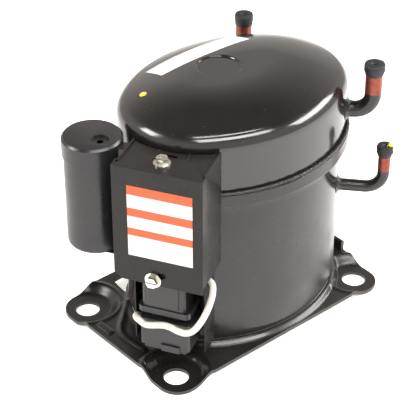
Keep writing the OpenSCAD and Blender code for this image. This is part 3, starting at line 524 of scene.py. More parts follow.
def enamel(name, colour, low, high, haze):
    """Sprayed gloss enamel: peel, slow haze and a little dust."""
    f = Finish(name, colour, low, Specular_IOR_Level=0.5)
    f.rough(low, high, 16.0)
    mask = f.effect("drift", Scale=9.0)["Mask"]
    f.paint(math_node(f.tree, "MULTIPLY", mask, 0.5), haze)
    dust = f.effect("specks", Scale=420.0, Share=0.05)["Mask"]
    f.paint(math_node(f.tree, "MULTIPLY", dust, 0.25), (0.22, 0.21, 0.2))
    return f.grain(420.0, 0.012, wave=5.0)


# Each band of the cover label: its top and its depth, as shares of the label's height
BANDS = ((0.0, 0.13), (0.315, 0.118), (0.6, 0.108))


class MaterialBook:
    """Every finish of the compressor, made once."""

    def __init__(self, settings):
        black = tuple(settings.enamel_colour)
        gloss = settings.enamel_gloss
        dome = enamel("Dome Enamel", black, gloss, gloss + 0.1, (0.022, 0.02, 0.018))
        dome.shader.inputs["Specular IOR Level"].default_value = 0.75
        dot = dome.effect("spot", Radius=0.0034, Centre=self.dome_point(-58.5, 21.5))["Mask"]
        self.dome = dome.paint(dot, (0.75, 0.62, 0.05)).material
        bowl = enamel("Bowl Enamel", black, gloss + 0.06, 0.4, (0.034, 0.03, 0.027))
        self.bowl = bowl.material
        plate = enamel("Base Enamel", black, gloss + 0.08, 0.36, (0.03, 0.028, 0.025))
        self.plate = plate.material
        bead = enamel("Weld Enamel", black, 0.2, 0.45, (0.05, 0.045, 0.035))
        self.bead = bead.grain(750.0, 0.6, 1.0).material
        sheet = enamel("Sheet Enamel", tuple(settings.sheet_colour), 0.2, 0.32,
                       (0.02, 0.018, 0.016))
        sheet.shader.inputs["Specular IOR Level"].default_value = 0.24
        self.sheet = sheet.grain(700.0, 0.012, wave=2.0).material
        self.dark_plastic = self.moulded("Black Moulding", (0.014, 0.014, 0.015), 0.34, 0.46)
        self.can_plastic = self.moulded("Capacitor Moulding", (0.012, 0.012, 0.013), 0.26, 0.4)
        self.rubber = self.moulded("Plug Rubber", (0.012, 0.012, 0.0125), 0.55, 0.75, 500.0, 0.05)
        marked = Finish("Marked Plug Rubber", (0.012, 0.012, 0.0125), 0.7)
        marked.rough(0.6, 0.8, 60.0).grain(500.0, 0.05)
        low, high = node_box("discharge_plug")
        side = (high[0] - 2.5, (low[1] + high[1]) / 2 - 3.0, high[2] - 2.0)
        side = tuple(value * MM for value in side)
        spot = marked.effect("spot", Radius=0.0042, Centre=side)["Mask"]
        self.marked_rubber = marked.paint(spot, (0.62, 0.6, 0.06)).material
        self.zinc = self.metal("Zinc Plate", (0.72, 0.7, 0.62), 0.22, 0.42, 140.0, 0.01)
        self.ground = self.metal("Ground Steel", (0.62, 0.62, 0.63), 0.16, 0.3, 260.0, 0.004)
        self.spring = self.metal("Spring Steel", (0.34, 0.34, 0.35), 0.28, 0.42, 300.0, 0.004)
        self.cast = self.metal("Cast Iron", (0.16, 0.16, 0.165), 0.55, 0.75, 420.0, 0.12)
        self.bronze = self.metal("Bronze", (0.55, 0.36, 0.13), 0.26, 0.45, 200.0, 0.01)
        self.aluminium = self.metal("Cast Aluminium", (0.66, 0.67, 0.68), 0.35, 0.5, 260.0, 0.05)
        self.stack = self.laminated()
        self.winding = self.wound()
        self.gasket = self.moulded("Gasket Fibre", (0.18, 0.18, 0.17), 0.75, 0.9, 900.0, 0.06)
        self.nylon = self.moulded("Connector Nylon", (0.72, 0.69, 0.58), 0.45, 0.6, 300.0, 0.02)
        self.glass = self.moulded("Header Glass", (0.05, 0.09, 0.07), 0.08, 0.15, 120.0, 0.01)
        self.blue_lead = self.moulded("Motor Lead Sleeve", (0.04, 0.07, 0.24), 0.4, 0.55,
                                      500.0, 0.02)
        self.white_lead = self.lead(tuple(settings.lead_colour))
        self.dome_sticker = self.sticker("Dome Sticker")
        self.box_sticker = self.banded_sticker()

    @staticmethod
    def dome_point(x, y):
        """A point of the dome, in metres."""
        depth = oval_depth(np.array([x - SHELL_X, y]))
        return (x * MM, y * MM, float(dome_z(depth)) * MM)

    @staticmethod
    def moulded(name, colour, low, high, scale=350.0, depth=0.02):
        """Moulded plastic or rubber: fine grain, slow sheen change and dust."""
        f = Finish(name, colour, low).rough(low, high, 30.0)
        dust = f.effect("specks", Scale=500.0, Share=0.06)["Mask"]
        lighter = tuple(min(1.0, c * 1.6 + 0.02) for c in colour)
        f.paint(math_node(f.tree, "MULTIPLY", dust, 0.5), lighter)
        return f.grain(scale, depth, wave=1.5).material

    @staticmethod
    def metal(name, colour, low, high, scale, depth):
        """Bare metal: drifting sheen, darker patches and fine tooling or casting skin."""
        f = Finish(name, colour, low, metallic=1.0).rough(low, high, 60.0)
        f.paint(f.effect("drift", Scale=40.0)["Mask"], tuple(c * 0.72 for c in colour))
        return f.grain(scale, depth, wave=1.0).material

    @staticmethod
    def laminated():
        """Stacked steel sheets: thin dark lines across the stack."""
        f = Finish("Laminated Steel", (0.36, 0.36, 0.37), 0.4, metallic=1.0).rough(0.35, 0.55, 50.0)
        lines = noise(f.tree, f.stretched(1.0, 1.0, 900.0), 2.0, 0.0)
        f.paint(spread(f.tree, lines, 0.5, 0.62, 0.0, 0.6), (0.1, 0.1, 0.1))
        return f.bump(lines, 0.05).material

    @staticmethod
    def wound():
        """Varnished copper wire: rings of close strands."""
        f = Finish("Varnished Wire", (0.42, 0.15, 0.06), 0.28, metallic=0.85).rough(0.22, 0.4, 50.0)
        strands = noise(f.tree, f.stretched(300.0, 300.0, 1200.0), 1.0, 1.0)
        f.paint(spread(f.tree, strands, 0.4, 0.65, 0.0, 0.7), (0.2, 0.06, 0.025))
        return f.bump(strands, 0.15).material

    @staticmethod
    def lead(colour):
        """Soft white insulation with grime."""
        f = Finish("White Insulation", colour, 0.42).rough(0.38, 0.55, 80.0)
        grime = f.effect("drift", Scale=60.0)["Mask"]
        f.paint(math_node(f.tree, "MULTIPLY", grime, 0.35), (0.5, 0.46, 0.4))
        return f.grain(500.0, 0.02, wave=2.0).material

    @staticmethod
    def sticker(name):
        """White film, left blank: faint grey wear and a soft sheen."""
        f = Finish(name, (0.7, 0.71, 0.71), 0.3).rough(0.24, 0.4, 40.0)
        wear = f.effect("drift", Scale=70.0)["Mask"]
        f.paint(math_node(f.tree, "MULTIPLY", wear, 0.35), (0.62, 0.63, 0.64))
        return f.grain(150.0, 0.02, wave=0.5).material

    @staticmethod
    def banded_sticker():
        """White film with three plain coloured bands, worked out from the label's own height."""
        f = Finish("Banded Sticker", (0.62, 0.62, 0.6), 0.34).rough(0.3, 0.42, 60.0)
        wear = f.effect("drift", Scale=120.0)["Mask"]
        f.paint(math_node(f.tree, "MULTIPLY", wear, 0.3), (0.6, 0.6, 0.59))
        low, high = node_box("cover_label")
        height = high[2] - low[2]
        for top, depth in BANDS:
            upper = (high[2] - top * height) * MM
            lower = upper - depth * height * MM
            above = f.effect("line", Level=lower, Ragged=0.0)["Mask"]
            over = f.effect("line", Level=upper, Ragged=0.0)["Mask"]
            f.paint(math_node(f.tree, "SUBTRACT", above, over, clamp=True), (0.45, 0.08, 0.015))
        return f.grain(200.0, 0.01).material

    @staticmethod
    def tube(name, level, colour):
        """Black enamel up to a ragged line, bare copper with heat stain above it."""
        f = enamel(name, colour, 0.16, 0.3, (0.03, 0.027, 0.024))
        bare = f.effect("line", Level=level * MM, Ragged=0.0012)["Mask"]
        f.paint(bare, (0.27, 0.07, 0.045))
        stain = f.effect("drift", Scale=220.0)["Mask"]
        heated = math_node(f.tree, "MULTIPLY", stain, bare)
        f.paint(math_node(f.tree, "MULTIPLY", heated, 0.7), (0.16, 0.035, 0.022))
        f.feed("Metallic", math_node(f.tree, "MULTIPLY", bare, 0.75))
        f.feed("Roughness", spread(f.tree, bare, 0.0, 1.0, 0.2, 0.42))
        return f.material


BOOK = []


def materials():
    """The finishes, made the first time they are needed."""
    if not BOOK:
        BOOK.append(MaterialBook(bpy.context.scene.compressor_finish))
    return BOOK[0]


# ---- Settings ----
class CompressorFinish(bpy.types.PropertyGroup):
    """Colours and gloss"""
    enamel_colour: bpy.props.FloatVectorProperty(
        name="Enamel", description="Colour of the shells and the base", subtype="COLOR",
        size=3, min=0, max=1, default=(0.0105, 0.0095, 0.009))
    enamel_gloss: bpy.props.FloatProperty(
        name="Enamel roughness", description="Lower is glossier", default=0.1, min=0, max=1)
    sheet_colour: bpy.props.FloatVectorProperty(
        name="Sheet metal", description="Colour of the terminal box", subtype="COLOR",
        size=3, min=0, max=1, default=(0.011, 0.0098, 0.009))
    lead_colour: bpy.props.FloatVectorProperty(
        name="Lead", description="Colour of the jumper lead", subtype="COLOR",
        size=3, min=0, max=1, default=(0.64, 0.6, 0.52))


class CompressorSizes(bpy.types.PropertyGroup):
    """Sizes of what is finished here"""
    bead_size: bpy.props.FloatProperty(
        name="Weld bead", description="Height of the weld bead in millimetres",
        default=3.6, min=2, max=4.5)
    ripple: bpy.props.FloatProperty(
        name="Bead ripple", description="Length of one ripple of the bead in millimetres",
        default=3.1, min=1, max=8)
    step_round: bpy.props.FloatProperty(
        name="Edge radius", description="Rounding of sheet metal edges in millimetres",
        default=0.45, min=0.1, max=1.0)


class CompressorStage(bpy.types.PropertyGroup):
    """Camera and lights"""
    lens: bpy.props.FloatProperty(
        name="Lens", description="Focal length in millimetres", default=134.4, min=30, max=300)
    key_power: bpy.props.FloatProperty(
        name="Key light", description="Power of the brightest light in watts", default=60, min=0)
    floor_tone: bpy.props.FloatProperty(
        name="Floor tone", description="Lightness of the floor", default=0.86, min=0, max=1)


# ---- Shells ----
def dome_rows(angle):
    """The dome as rows from its rim to its middle: the wall and the shoulder's arc follow the oval,
    then rows pass over from the oval to the recess's circle, (1 - w) circle + w oval, at the dome's
    own height, and the last rows drop into the round recess."""
    wall = [(-0.3, LEDGE_Z + 0.3), (0.0, LEDGE_Z + 0.7)]
    wall += [(0.0, z) for z in np.linspace(LEDGE_Z + 2, SHOULDER_Z, 16)]
    end = 90 - math.degrees(CROWN_TURN)
    bend = arc((-SHOULDER_R, SHOULDER_Z), SHOULDER_R, 0, end, 22)[1:]
    rows = carry_round(angle, np.vstack([wall, bend]))
    outer = oval(angle, -SHOULDER_R * (1 - math.sin(CROWN_TURN)))
    circle = np.stack([np.cos(angle), np.sin(angle)], axis=-1)
    share = np.linspace(1, 0, 56)[1:, None, None]
    flat = share * outer + (1 - share) * (RECESS + circle * (RECESS_R + 1.3))
    z = dome_z(oval_depth(flat))
    radii = np.concatenate([RECESS_R + np.linspace(1.0, -1.4, 13),
                            np.linspace(RECESS_R - 2.5, 0, 9)])
    hollow = RECESS + circle * radii[:, None, None]
    level = dome_z(oval_depth(hollow))
    fall = smooth_step(-radii, -RECESS_R - 0.6, -RECESS_R + 1.0)[:, None]
    sunk = level * (1 - fall) + (TOP_Z - RECESS_DEPTH) * fall
    crown = np.concatenate([np.dstack([flat, z]), np.dstack([hollow, sunk])])
    crown[..., 0] += SHELL_X
    return np.concatenate([rows, crown.transpose(1, 0, 2)], axis=1)


def bowl_rows(angle):
    """The lower shell as rows from the middle of its floor to its rim: a flat floor, the bowl's
    arc, the wall, an S-shaped step out to the belt, and the belt's rounded edge."""
    floor = oval(angle, -LOWER_IN - BOWL_R) * np.linspace(0, 1, 12)[:, None, None]
    floor = np.dstack([floor[..., 0] + SHELL_X, floor[..., 1], np.full(floor.shape[:2], BOWL_Z)])
    bend = arc((-LOWER_IN - BOWL_R, BOWL_Z + BOWL_R), BOWL_R, 270, 360, 20)[1:]
    foot = LEDGE_Z - BELT_STEP
    wall = [(-LOWER_IN, z) for z in np.linspace(BOWL_Z + BOWL_R + 4, foot, 20)]
    reach = BELT_OUT + LOWER_IN
    flare = [(-LOWER_IN + reach * smooth_step(t, 0, 1), foot + (BELT_STEP + 0.5) * t)
             for t in np.linspace(0, 1, 12)[1:]]
    belt = [(BELT_OUT, z) for z in np.linspace(LEDGE_Z + 1.5, SEAM_Z - 1.2, 6)]
    lip = arc((WALL - 0.6, SEAM_Z - 0.8), 0.8, 0, 90, 5)
    rows = carry_round(angle, np.vstack([bend, wall, flare, belt, lip]))
    return np.concatenate([floor.transpose(1, 0, 2), rows], axis=1)


class COMPRESSOR_OT_shells(bpy.types.Operator):
    """Upper and lower shell as carried profiles with their walls"""
    bl_idname = "compressor.shells"
    bl_label = "Shells"

    def execute(self, context):
        book = materials()
        angle = oval_angles(360)
        dome = surface("dome_shell", [(dome_rows(angle), True, False)], book.dome, "shell",
                       ("upper_shell",), smooth=60)
        thicken(dome, WALL - 0.1)
        bowl = surface("bowl_shell", [(bowl_rows(angle), True, False)], book.bowl, "shell",
                       ("lower_shell",), smooth=60)
        thicken(bowl, WALL - 0.1)
        return {"FINISHED"}


class COMPRESSOR_OT_weld_bead(bpy.types.Operator):
    """Rippled bead that joins the shells"""
    bl_idname = "compressor.weld_bead"
    bl_label = "Weld Bead"

    def execute(self, context):
        sizes = context.scene.compressor_sizes
        angle = oval_angles(1400)
        flat = oval(angle, 0.0)
        step = np.hypot(*(np.roll(flat, -1, axis=0) - flat).T)
        along = np.cumsum(step) * 2 * math.pi / sizes.ripple
        waves = np.random.default_rng(7).uniform(0, 2 * math.pi, 6)
        drift = sum(np.sin(angle * (17 + 13 * k) + w) for k, w in enumerate(waves)) / 6
        half = sizes.bead_size / 2 - 0.35
        size = half * (1 + 0.09 * np.abs(np.sin(along / 2 + drift)) + 0.09 * drift)
        a = np.linspace(0, 2 * math.pi, 14, endpoint=False)
        off = 1.45 + 0.25 * drift[:, None] + size[:, None] * np.cos(a)
        z = SEAM_Z + half - 0.1 + 0.15 * drift[:, None] + size[:, None] * np.sin(a) * 0.85
        spot = oval(angle[:, None], off)
        grid = np.dstack([spot[..., 0] + SHELL_X, spot[..., 1], z])
        surface("seam_bead", [(grid, True, True)], materials().bead, "shell",
                ("weld_bead",), smooth=75)
        return {"FINISHED"}


# ---- Base plate ----
PLATE_LOW, PLATE_HIGH = node_box("base_plate")
FOOT = np.array([93.5, 54.5])
FOOT_HOLE_R = 9.5
PAD_TOP = 3.0
WEB_TOP = 9.0
PLATE_T = 3.0
PAD_R = 17.0
STEP_R = 24.0
COLLAR_H = 3.2  # the rolled collar round the bowl, above the web
COLLAR_OFF = -5.25  # the collar's inner edge, from the upper shell's oval
COLLAR_REACH = (1.0, 6.5)
CORNER_R = 17.0
RIDGE = [(-72, 33), (-82, 23), (-93, 13), (-98, 4), (-98.5, -8), (-97, -20)]
RIDGE_H, RIDGE_W = 2.0, 2.3
RIBS = (((-103.0, 19.0), (2.6, 8.0)), ((-101.5, -31.5), (5.0, 3.6)))  # middle, half sizes
RIB_H = 1.2
WINDOW = [(-64, 30), (-60.5, 62), (-56, 65), (-38, 65), (-37, 61.5), (-47, 58), (-55.5, 52.5),
          (-61, 46)]
FLANGE_HALF = 26.0  # half the length of the upright flange at the far end
FLANGE_TOP = 18.0
FLANGE_ROUND = 0.8


def rounded_edge(angle_count):
    """The plate's outline: four corner arcs joined by straight sides, as evenly spaced points."""
    low, high = PLATE_LOW[:2], PLATE_HIGH[:2]
    corners = (((high[0], high[1]), 0), ((low[0], high[1]), 90),
               ((low[0], low[1]), 180), ((high[0], low[1]), 270))
    rings = []
    for (x, y), start in corners:
        centre = (x - math.copysign(CORNER_R, x), y - math.copysign(CORNER_R, y))
        rings.append(arc(centre, CORNER_R, start, start + 90, 24))
    line = np.vstack(rings + [rings[0][:1]])
    step = np.hypot(*np.diff(line, axis=0).T)
    at = np.concatenate([[0], np.cumsum(step)])
    want = np.linspace(0, at[-1], angle_count, endpoint=False)
    return np.stack([np.interp(want, at, line[:, 0]), np.interp(want, at, line[:, 1])], axis=-1)


def ray_to_outline(edge, origin, direction):
    """For each direction from its origin, the point where the ray meets the outline."""
    nxt = np.roll(edge, -1, axis=0)
    side = nxt - edge
    gap = edge[None] - origin[:, None]
    cross = direction[:, None, 0] * side[None, :, 1] - direction[:, None, 1] * side[None, :, 0]
    cross = np.where(np.abs(cross) < 1e-12, 1e-12, cross)
    t = (gap[..., 0] * side[None, :, 1] - gap[..., 1] * side[None, :, 0]) / cross
    s = (gap[..., 0] * direction[:, None, 1] - gap[..., 1] * direction[:, None, 0]) / cross
    ok = (s >= -1e-9) & (s <= 1 + 1e-9) & (t > 0)
    t = np.where(ok, t, np.inf).min(axis=1)
    return origin + direction * t[:, None]


def distance_to_line(p, points):
    """Distance from each point of the grid to a bent line of straight pieces."""
    points = np.asarray(points, float)
    best = np.full(p.shape[:-1], np.inf)
    for a, b in zip(points[:-1], points[1:]):
        side = b - a
        t = np.clip(((p - a) @ side) / (side @ side), 0, 1)
        best = np.minimum(best, np.linalg.norm(p - a - t[..., None] * side, axis=-1))
    return best


def plate_height(p):
    """Top of the pressed plate: the web, less a smooth step down round each foot, plus a rolled
    collar round the bowl, a swept ridge in front of the terminals and two small raised ribs."""
    z = np.full(p.shape[:-1], WEB_TOP)
    for sx in (-1, 1):
        for sy in (-1, 1):
            r = np.linalg.norm(p - FOOT * (sx, sy), axis=-1)
            z -= (WEB_TOP - PAD_TOP) * (1 - smooth_step(r, PAD_R + 0.5, STEP_R + 1.5))
            z += 0.9 * np.exp(-((r - STEP_R - 2.6) / 1.7) ** 2)
    out = -oval_depth(p - np.array([SHELL_X, 0])) - COLLAR_OFF
    fade = smooth_step(out, *COLLAR_REACH)
    z = np.maximum(z, (WEB_TOP + COLLAR_H) * (1 - fade) + z * fade)
    ridge = distance_to_line(p, spline(RIDGE, 6))
    z += RIDGE_H * np.exp(-(ridge / RIDGE_W) ** 2)
    for place, half in RIBS:
        d = np.abs(p - place) - half
        z += RIB_H * (1 - smooth_step(np.max(d, axis=-1), -0.8, 0.8))
    return z


def plate_grid(rows):
    """Top and bottom of the plate between the collar and the outline: rays along the oval's
    normals, so each point is (1 - w) collar + w edge, closed round both rims."""
    angle = oval_angles(720)
    inner = oval(angle, COLLAR_OFF) + np.array([SHELL_X, 0])
    edge = rounded_edge(1200)
    direction = np.stack([np.cos(angle), np.sin(angle)], axis=-1)
    outer = ray_to_outline(edge, inner, direction)
    w = np.linspace(0, 1, rows)[None, :, None]
    flat = inner[:, None] * (1 - w) + outer[:, None] * w
    top = plate_height(flat)
    upper = np.dstack([flat, top])
    lower = np.dstack([flat, np.maximum(top - PLATE_T, 0)])[:, ::-1]
    return np.concatenate([upper, lower], axis=1)


def cutter(name, outline, z0, z1):
    """A closed prism to cut with."""
    outline = np.asarray(outline, float)
    ends = [np.column_stack([outline, np.full(len(outline), z)]) for z in (z0, z1)]
    ring = np.stack(ends, axis=1)
    mesh = mesh_from_grids(name, [(ring, True, False)])
    clean(mesh, close_ends=True)
    obj = bpy.data.objects.new(name, mesh)
    bpy.context.scene.collection.objects.link(obj)
    return obj


def cut(obj, tools):
    """Cuts the tools out of a piece, for good."""
    for tool in tools:
        hole = obj.modifiers.new("Cut", "BOOLEAN")
        hole.operation = "DIFFERENCE"
        hole.solver = "MANIFOLD"
        hole.object = tool
    graph = bpy.context.evaluated_depsgraph_get()
    mesh = bpy.data.meshes.new_from_object(obj.evaluated_get(graph))
    obj.modifiers.clear()
    old = obj.data
    obj.data = mesh
    bpy.data.meshes.remove(old)
    for tool in tools:
        bpy.data.objects.remove(tool)


class COMPRESSOR_OT_base_plate(bpy.types.Operator):
    """Pressed base plate with four lowered feet"""
    bl_idname = "compressor.base_plate"
    bl_label = "Base Plate"

    def execute(self, context):
        skin = materials().plate
        plate = surface("pressed_base", [(plate_grid(56), True, True)], skin, "shell",
                        ("base_plate",), smooth=42)
        holes = [cutter("Hole", arc(FOOT * (sx, sy), FOOT_HOLE_R, 0, 356.25, 95), -2, 12)
                 for sx in (-1, 1) for sy in (-1, 1)]
        holes.append(cutter("Window", spline(WINDOW + WINDOW[:1], 5)[:-1], -2, 14))
        cut(plate, holes)
        edge = plate.modifiers.new("Edges", "BEVEL")
        edge.width = context.scene.compressor_sizes.step_round * MM
        edge.segments = 2
        edge.limit_method = "ANGLE"
        edge.angle_limit = math.radians(50)
        surface("base_flange", [(self.flange(), False, True)], skin, "shell",
                smooth=42, close_ends=True)
        return {"FINISHED"}

    @staticmethod
    def flange():
        """The flange at the far end: a section with a rounded top, carried across the plate."""
        half = PLATE_T / 2 - 0.02
        side, level, foot = half - FLANGE_ROUND, FLANGE_TOP - FLANGE_ROUND, WEB_TOP - 2.8
        section = np.vstack([arc((-side, level), FLANGE_ROUND, 180, 90, 4),
                             arc((side, level), FLANGE_ROUND, 90, 0, 4),
                             [(half, foot), (-half, foot)]])
        x = PLATE_HIGH[0] - PLATE_T / 2
        return np.array([[(x + dx, y, z) for dx, z in section]
                         for y in np.linspace(-FLANGE_HALF, FLANGE_HALF, 27)])


# ---- Tubes and plugs ----
BEND_R = 14.0
TUBE_WALL = 1.0

# Direction of the wall's normal in degrees, offset of the wall from the oval, height of the hole,
# how far out the upright stands, length of bare copper at the top, outside diameter
Stub = namedtuple("Stub", "name degrees off z reach band diameter")
STUBS = (Stub("suction", -50, 0.0, 164.0, 19.0, 14.6, 12.7),
         Stub("discharge", -50, -LOWER_IN, 96.0, 35.0, 12.4, 9.5),
         Stub("process", 57, 0.0, 160.0, 19.0, 13.0, 12.7))


def wall_point(degrees, off):
    """A point of the wall and its outward normal."""
    angle = np.radians(degrees)
    p = oval(np.array(angle), off)
    return np.array([p[0] + SHELL_X, p[1], 0.0]), np.array([math.cos(angle), math.sin(angle), 0.0])


def middle(low, high):
    """Middle of a box from above."""
    return (low[0] + high[0]) / 2, (low[1] + high[1]) / 2


def elbow_path(base, out, reach, rise):
    """A stub's centre line: straight out of the wall, a quarter circle, straight up."""
    straight = [base + out * d for d in np.linspace(-WALL - 2, reach - BEND_R, 8)]
    turn = np.radians(np.linspace(0, 90, 17))[1:-1]
    hub = base + out * (reach - BEND_R) + UP * BEND_R
    bend = [hub + BEND_R * (out * math.sin(t) - UP * math.cos(t)) for t in turn]
    upright = [base + out * reach + UP * h for h in np.linspace(BEND_R, rise, 9)]
    return np.array(straight + bend + upright)


def braze_ring(base, out, side, size):
    """The braze round a stub: a fillet's section turned about the stub, its reach made uneven by
    two sines."""
    section = [(0.1, 3.2), (0.5, 1.9), (1.4, 0.9), (2.8, 0.1), (2.6, -1.6), (0.1, -1.6)]
    a = np.linspace(0, 2 * math.pi, 48, endpoint=False)
    wobble = 1 + 0.06 * np.sin(5 * a + 1) + 0.04 * np.sin(11 * a)
    return np.array([[base + out * h + (size + r * w) * (side * math.cos(t) + UP * math.sin(t))
                      for r, h in section] for t, w in zip(a, wobble)])


class COMPRESSOR_OT_tubes(bpy.types.Operator):
    """Three copper stubs with their braze fillets"""
    bl_idname = "compressor.tubes"
    bl_label = "Tubes"

    def execute(self, context):
        book = materials()
        black = tuple(context.scene.compressor_finish.enamel_colour)
        for stub in STUBS:
            top = node_box(f"{stub.name}_tube")[1][2]
            size = stub.diameter / 2
            start, out = wall_point(stub.degrees, stub.off)
            base = start + UP * stub.z
            side = np.cross(out, UP)
            path = elbow_path(base, out, stub.reach, top - stub.z)
            outer = sweep(path, size, 40, side)
            inner = sweep(path, size - TUBE_WALL, 40, side)[::-1]
            rim = np.concatenate([outer, inner])
            skin = book.tube(f"{stub.name.capitalize()} Tube", top - stub.band, black)
            surface(f"{stub.name}_stub", [(rim, True, True)], skin, "shell",
                    (f"{stub.name}_tube",))
            ring = braze_ring(base, out, side, size)
            surface(f"{stub.name}_braze", [(ring, True, True)], book.bead, "shell")
        return {"FINISHED"}


class COMPRESSOR_OT_plugs(bpy.types.Operator):
    """Rubber plugs with a dimple in each head"""
    bl_idname = "compressor.plugs"
    bl_label = "Plugs"

    def execute(self, context):
        book = materials()
        for stub in STUBS:
            low, high = node_box(f"{stub.name}_plug")
            tube = stub.diameter / 2
            head = (high[0] - low[0]) / 2
            top = high[2]
            base = node_box(f"{stub.name}_tube")[1][2]
            stem = tube - TUBE_WALL - 0.06
            profile = [(0, low[2]), (stem - 0.8, low[2]), (stem, low[2] + 0.8), (stem, base + 0.1),
                       (tube + 0.1, base + 0.1), (tube + 0.5, base + 0.5), (head - 0.4, base + 2.9),
                       (head, base + 3.6), (head, top - 1.3), (head - 0.35, top - 0.35),
                       (head - 1.1, top)]
            dimple = arc((0, top + 0.1), head * 0.42, 0, -90, 8)
            dimple[:, 1] = top - (top - dimple[:, 1]) * 0.6
            outline = np.vstack([profile, [(head * 0.5, top)], dimple])
            grid = lathe(outline, (*middle(low, high), 0))
            skin = book.marked_rubber if stub.name == "discharge" else book.rubber
            surface(f"{stub.name}_stopper", [(grid, True, False)], skin, f"{stub.name}_cap",
                    (f"{stub.name}_plug",), smooth=50)
        return {"FINISHED"}


# ---- Terminal box ----
PRESSED = (("terminal_cover", "front_cover"), ("control_box", "terminal_housing"),
           ("terminal_bracket", "back_bracket"), ("capacitor_bracket", "capacitor_shelf"))


class COMPRESSOR_OT_terminal_box(bpy.types.Operator):
    """Pressed cover, box and brackets with rolled edges, and their two screws"""
    bl_idname = "compressor.terminal_box"
    bl_label = "Terminal Box"

    def execute(self, context):
        book = materials()
        width = context.scene.compressor_sizes.step_round
        for node, name in PRESSED:
            softened_copy(node, name, book.sheet, "shell", width)
        softened_copy("cover_screws", "box_screws", book.zinc, "shell", 0.3)
        return {"FINISHED"}


class COMPRESSOR_OT_relay(bpy.types.Operator):
    """Moulded relay and overload protector"""
    bl_idname = "compressor.relay"
    bl_label = "Relay"

    def execute(self, context):
        for node, name in (("start_relay", "relay_body"), ("overload_protector", "protector_body")):
            softened_copy(node, name, materials().dark_plastic, "shell", 0.7)
        return {"FINISHED"}


# The lead's middle line in the box's own axes, as in the CAD source
LEAD_R = 2.45
LEAD_ROUTE = [
    (-19.6, 20, 43), (-21.5, 20, 43), (-23.4, 17.4, 45), (-23.4, 12.5, 48.5), (-21.6, 8.3, 50.3),
    (-18.5, 6, 50.5), (-13.5, 5.4, 48), (-8.5, 5.3, 48.5), (-3, 5.3, 50), (2, 5.3, 51),
    (7, 5.2, 50.5), (13, 5, 48.7), (19, 4.6, 49), (24.7, 4.8, 52.8), (29.5, 8, 60),
    (32.4, 14, 68), (33.2, 20.5, 75),
    (31.6, 26, 80.5), (27.6, 28.5, 82.2), (22, 28.6, 82.4), (16.1, 28.6, 82.4)]


class COMPRESSOR_OT_lead(bpy.types.Operator):
    """White jumper lead from the protector, across the relay, into the box"""
    bl_idname = "compressor.lead"
    bl_label = "Jumper Lead"

    def execute(self, context):
        path = box_to_world(spline(LEAD_ROUTE, 6))
        grid = sweep(path, LEAD_R, 20)
        surface("white_lead", [(grid, False, True)], materials().white_lead, "shell",
                ("jumper_lead",), smooth=60, close_ends=True)
        return {"FINISHED"}


class COMPRESSOR_OT_capacitor(bpy.types.Operator):
    """Start capacitor: turned can and moulded cap"""
    bl_idname = "compressor.capacitor"
    bl_label = "Capacitor"

    def execute(self, context):
        book = materials()
        low, high = node_box("start_capacitor")
        r = (high[0] - low[0]) / 2
        centre = (*middle(low, high), 0)
        round_r = 4.0
        profile = np.vstack([
            [(0, low[2] + 1.5), (r - 8, low[2] + 1.5), (r - 8, low[2] + 0.3), (r - 7.5, low[2])],
            arc((r - round_r, low[2] + round_r), round_r, 270, 360, 8),
            [(r, z) for z in np.linspace(low[2] + 8, high[2] - 5, 8)],
            [(r, high[2] - 3.4), (r - 0.1, high[2]), (0, high[2])]])
        surface("capacitor_can", [(lathe(profile, centre, 128), True, False)], book.can_plastic,
                "shell", ("start_capacitor",), smooth=50)
        softened_copy("capacitor_cap", "capacitor_hood", book.can_plastic, "shell",
                      0.8, 4)
        return {"FINISHED"}


class COMPRESSOR_OT_labels(bpy.types.Operator):
    """Two blank labels: one on the dome, one on the cover"""
    bl_idname = "compressor.labels"
    bl_label = "Labels"

    def execute(self, context):
        book = materials()
        low, high = node_box("dome_label")
        x, y = np.meshgrid(np.linspace(low[0], high[0], 60), np.linspace(low[1], high[1], 18),
                           indexing="ij")
        flat = np.stack([x - SHELL_X, y], axis=-1)
        z = dome_z(oval_depth(flat))
        top = np.dstack([x, y, z + 0.26])
        film = surface("dome_sticker", [(top, False, False)], book.dome_sticker, "shell",
                       ("dome_label",), smooth=60)
        if film.data.polygons[0].normal.z < 0:
            film.data.flip_normals()
        thicken(film, 0.16)
        softened_copy("cover_label", "front_sticker", book.box_sticker, "shell",
                      0.05, 2)
        return {"FINISHED"}


# ---- Pump inside the shell ----
PUMP_FINISHES = {
    "terminal_header": "zinc", "terminal_glass": "glass", "terminal_pins": "bronze",
    "capacitor_terminals": "bronze", "spring_seats": "zinc", "suspension_springs": "spring",
    "stator_core": "stack", "stator_winding": "winding", "motor_bolts": "zinc",
    "motor_nuts": "zinc", "motor_connector": "nylon", "motor_leads": "blue_lead",
    "crankcase": "cast", "thrust_washer": "bronze",
    "crankshaft": "ground", "rotor": "aluminium", "balance_weight": "bronze", "oil_pickup": "zinc",
    "oil_plug": "bronze", "slide_block": "bronze", "yoke": "cast", "piston": "ground",
    "cylinder_gasket": "gasket", "suction_reed": "spring", "valve_plate": "cast",
    "discharge_reed": "spring", "valve_stop": "spring", "head_gasket": "gasket",
    "cylinder_head": "cast", "head_bolts": "zinc", "suction_muffler": "dark_plastic",
    "discharge_muffler": "cast", "discharge_loop": "spring"}


class COMPRESSOR_OT_pump(bpy.types.Operator):
    """Finishes for the pump, the motor and the small pieces that keep their own shape"""
    bl_idname = "compressor.pump"
    bl_label = "Pump and Motor"

    def execute(self, context):
        book = materials()
        for node, finish in PUMP_FINISHES.items():
            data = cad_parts[node].data
            data.materials.clear()
            data.materials.append(getattr(book, finish))
        return {"FINISHED"}


# ---- Stage ----
LIGHT_REACH = 1.7
CAMERA_AT = (-0.6553, -0.7419, 0.7520)
CAMERA_AIM = (0.07415, 0.10436, 0.0)


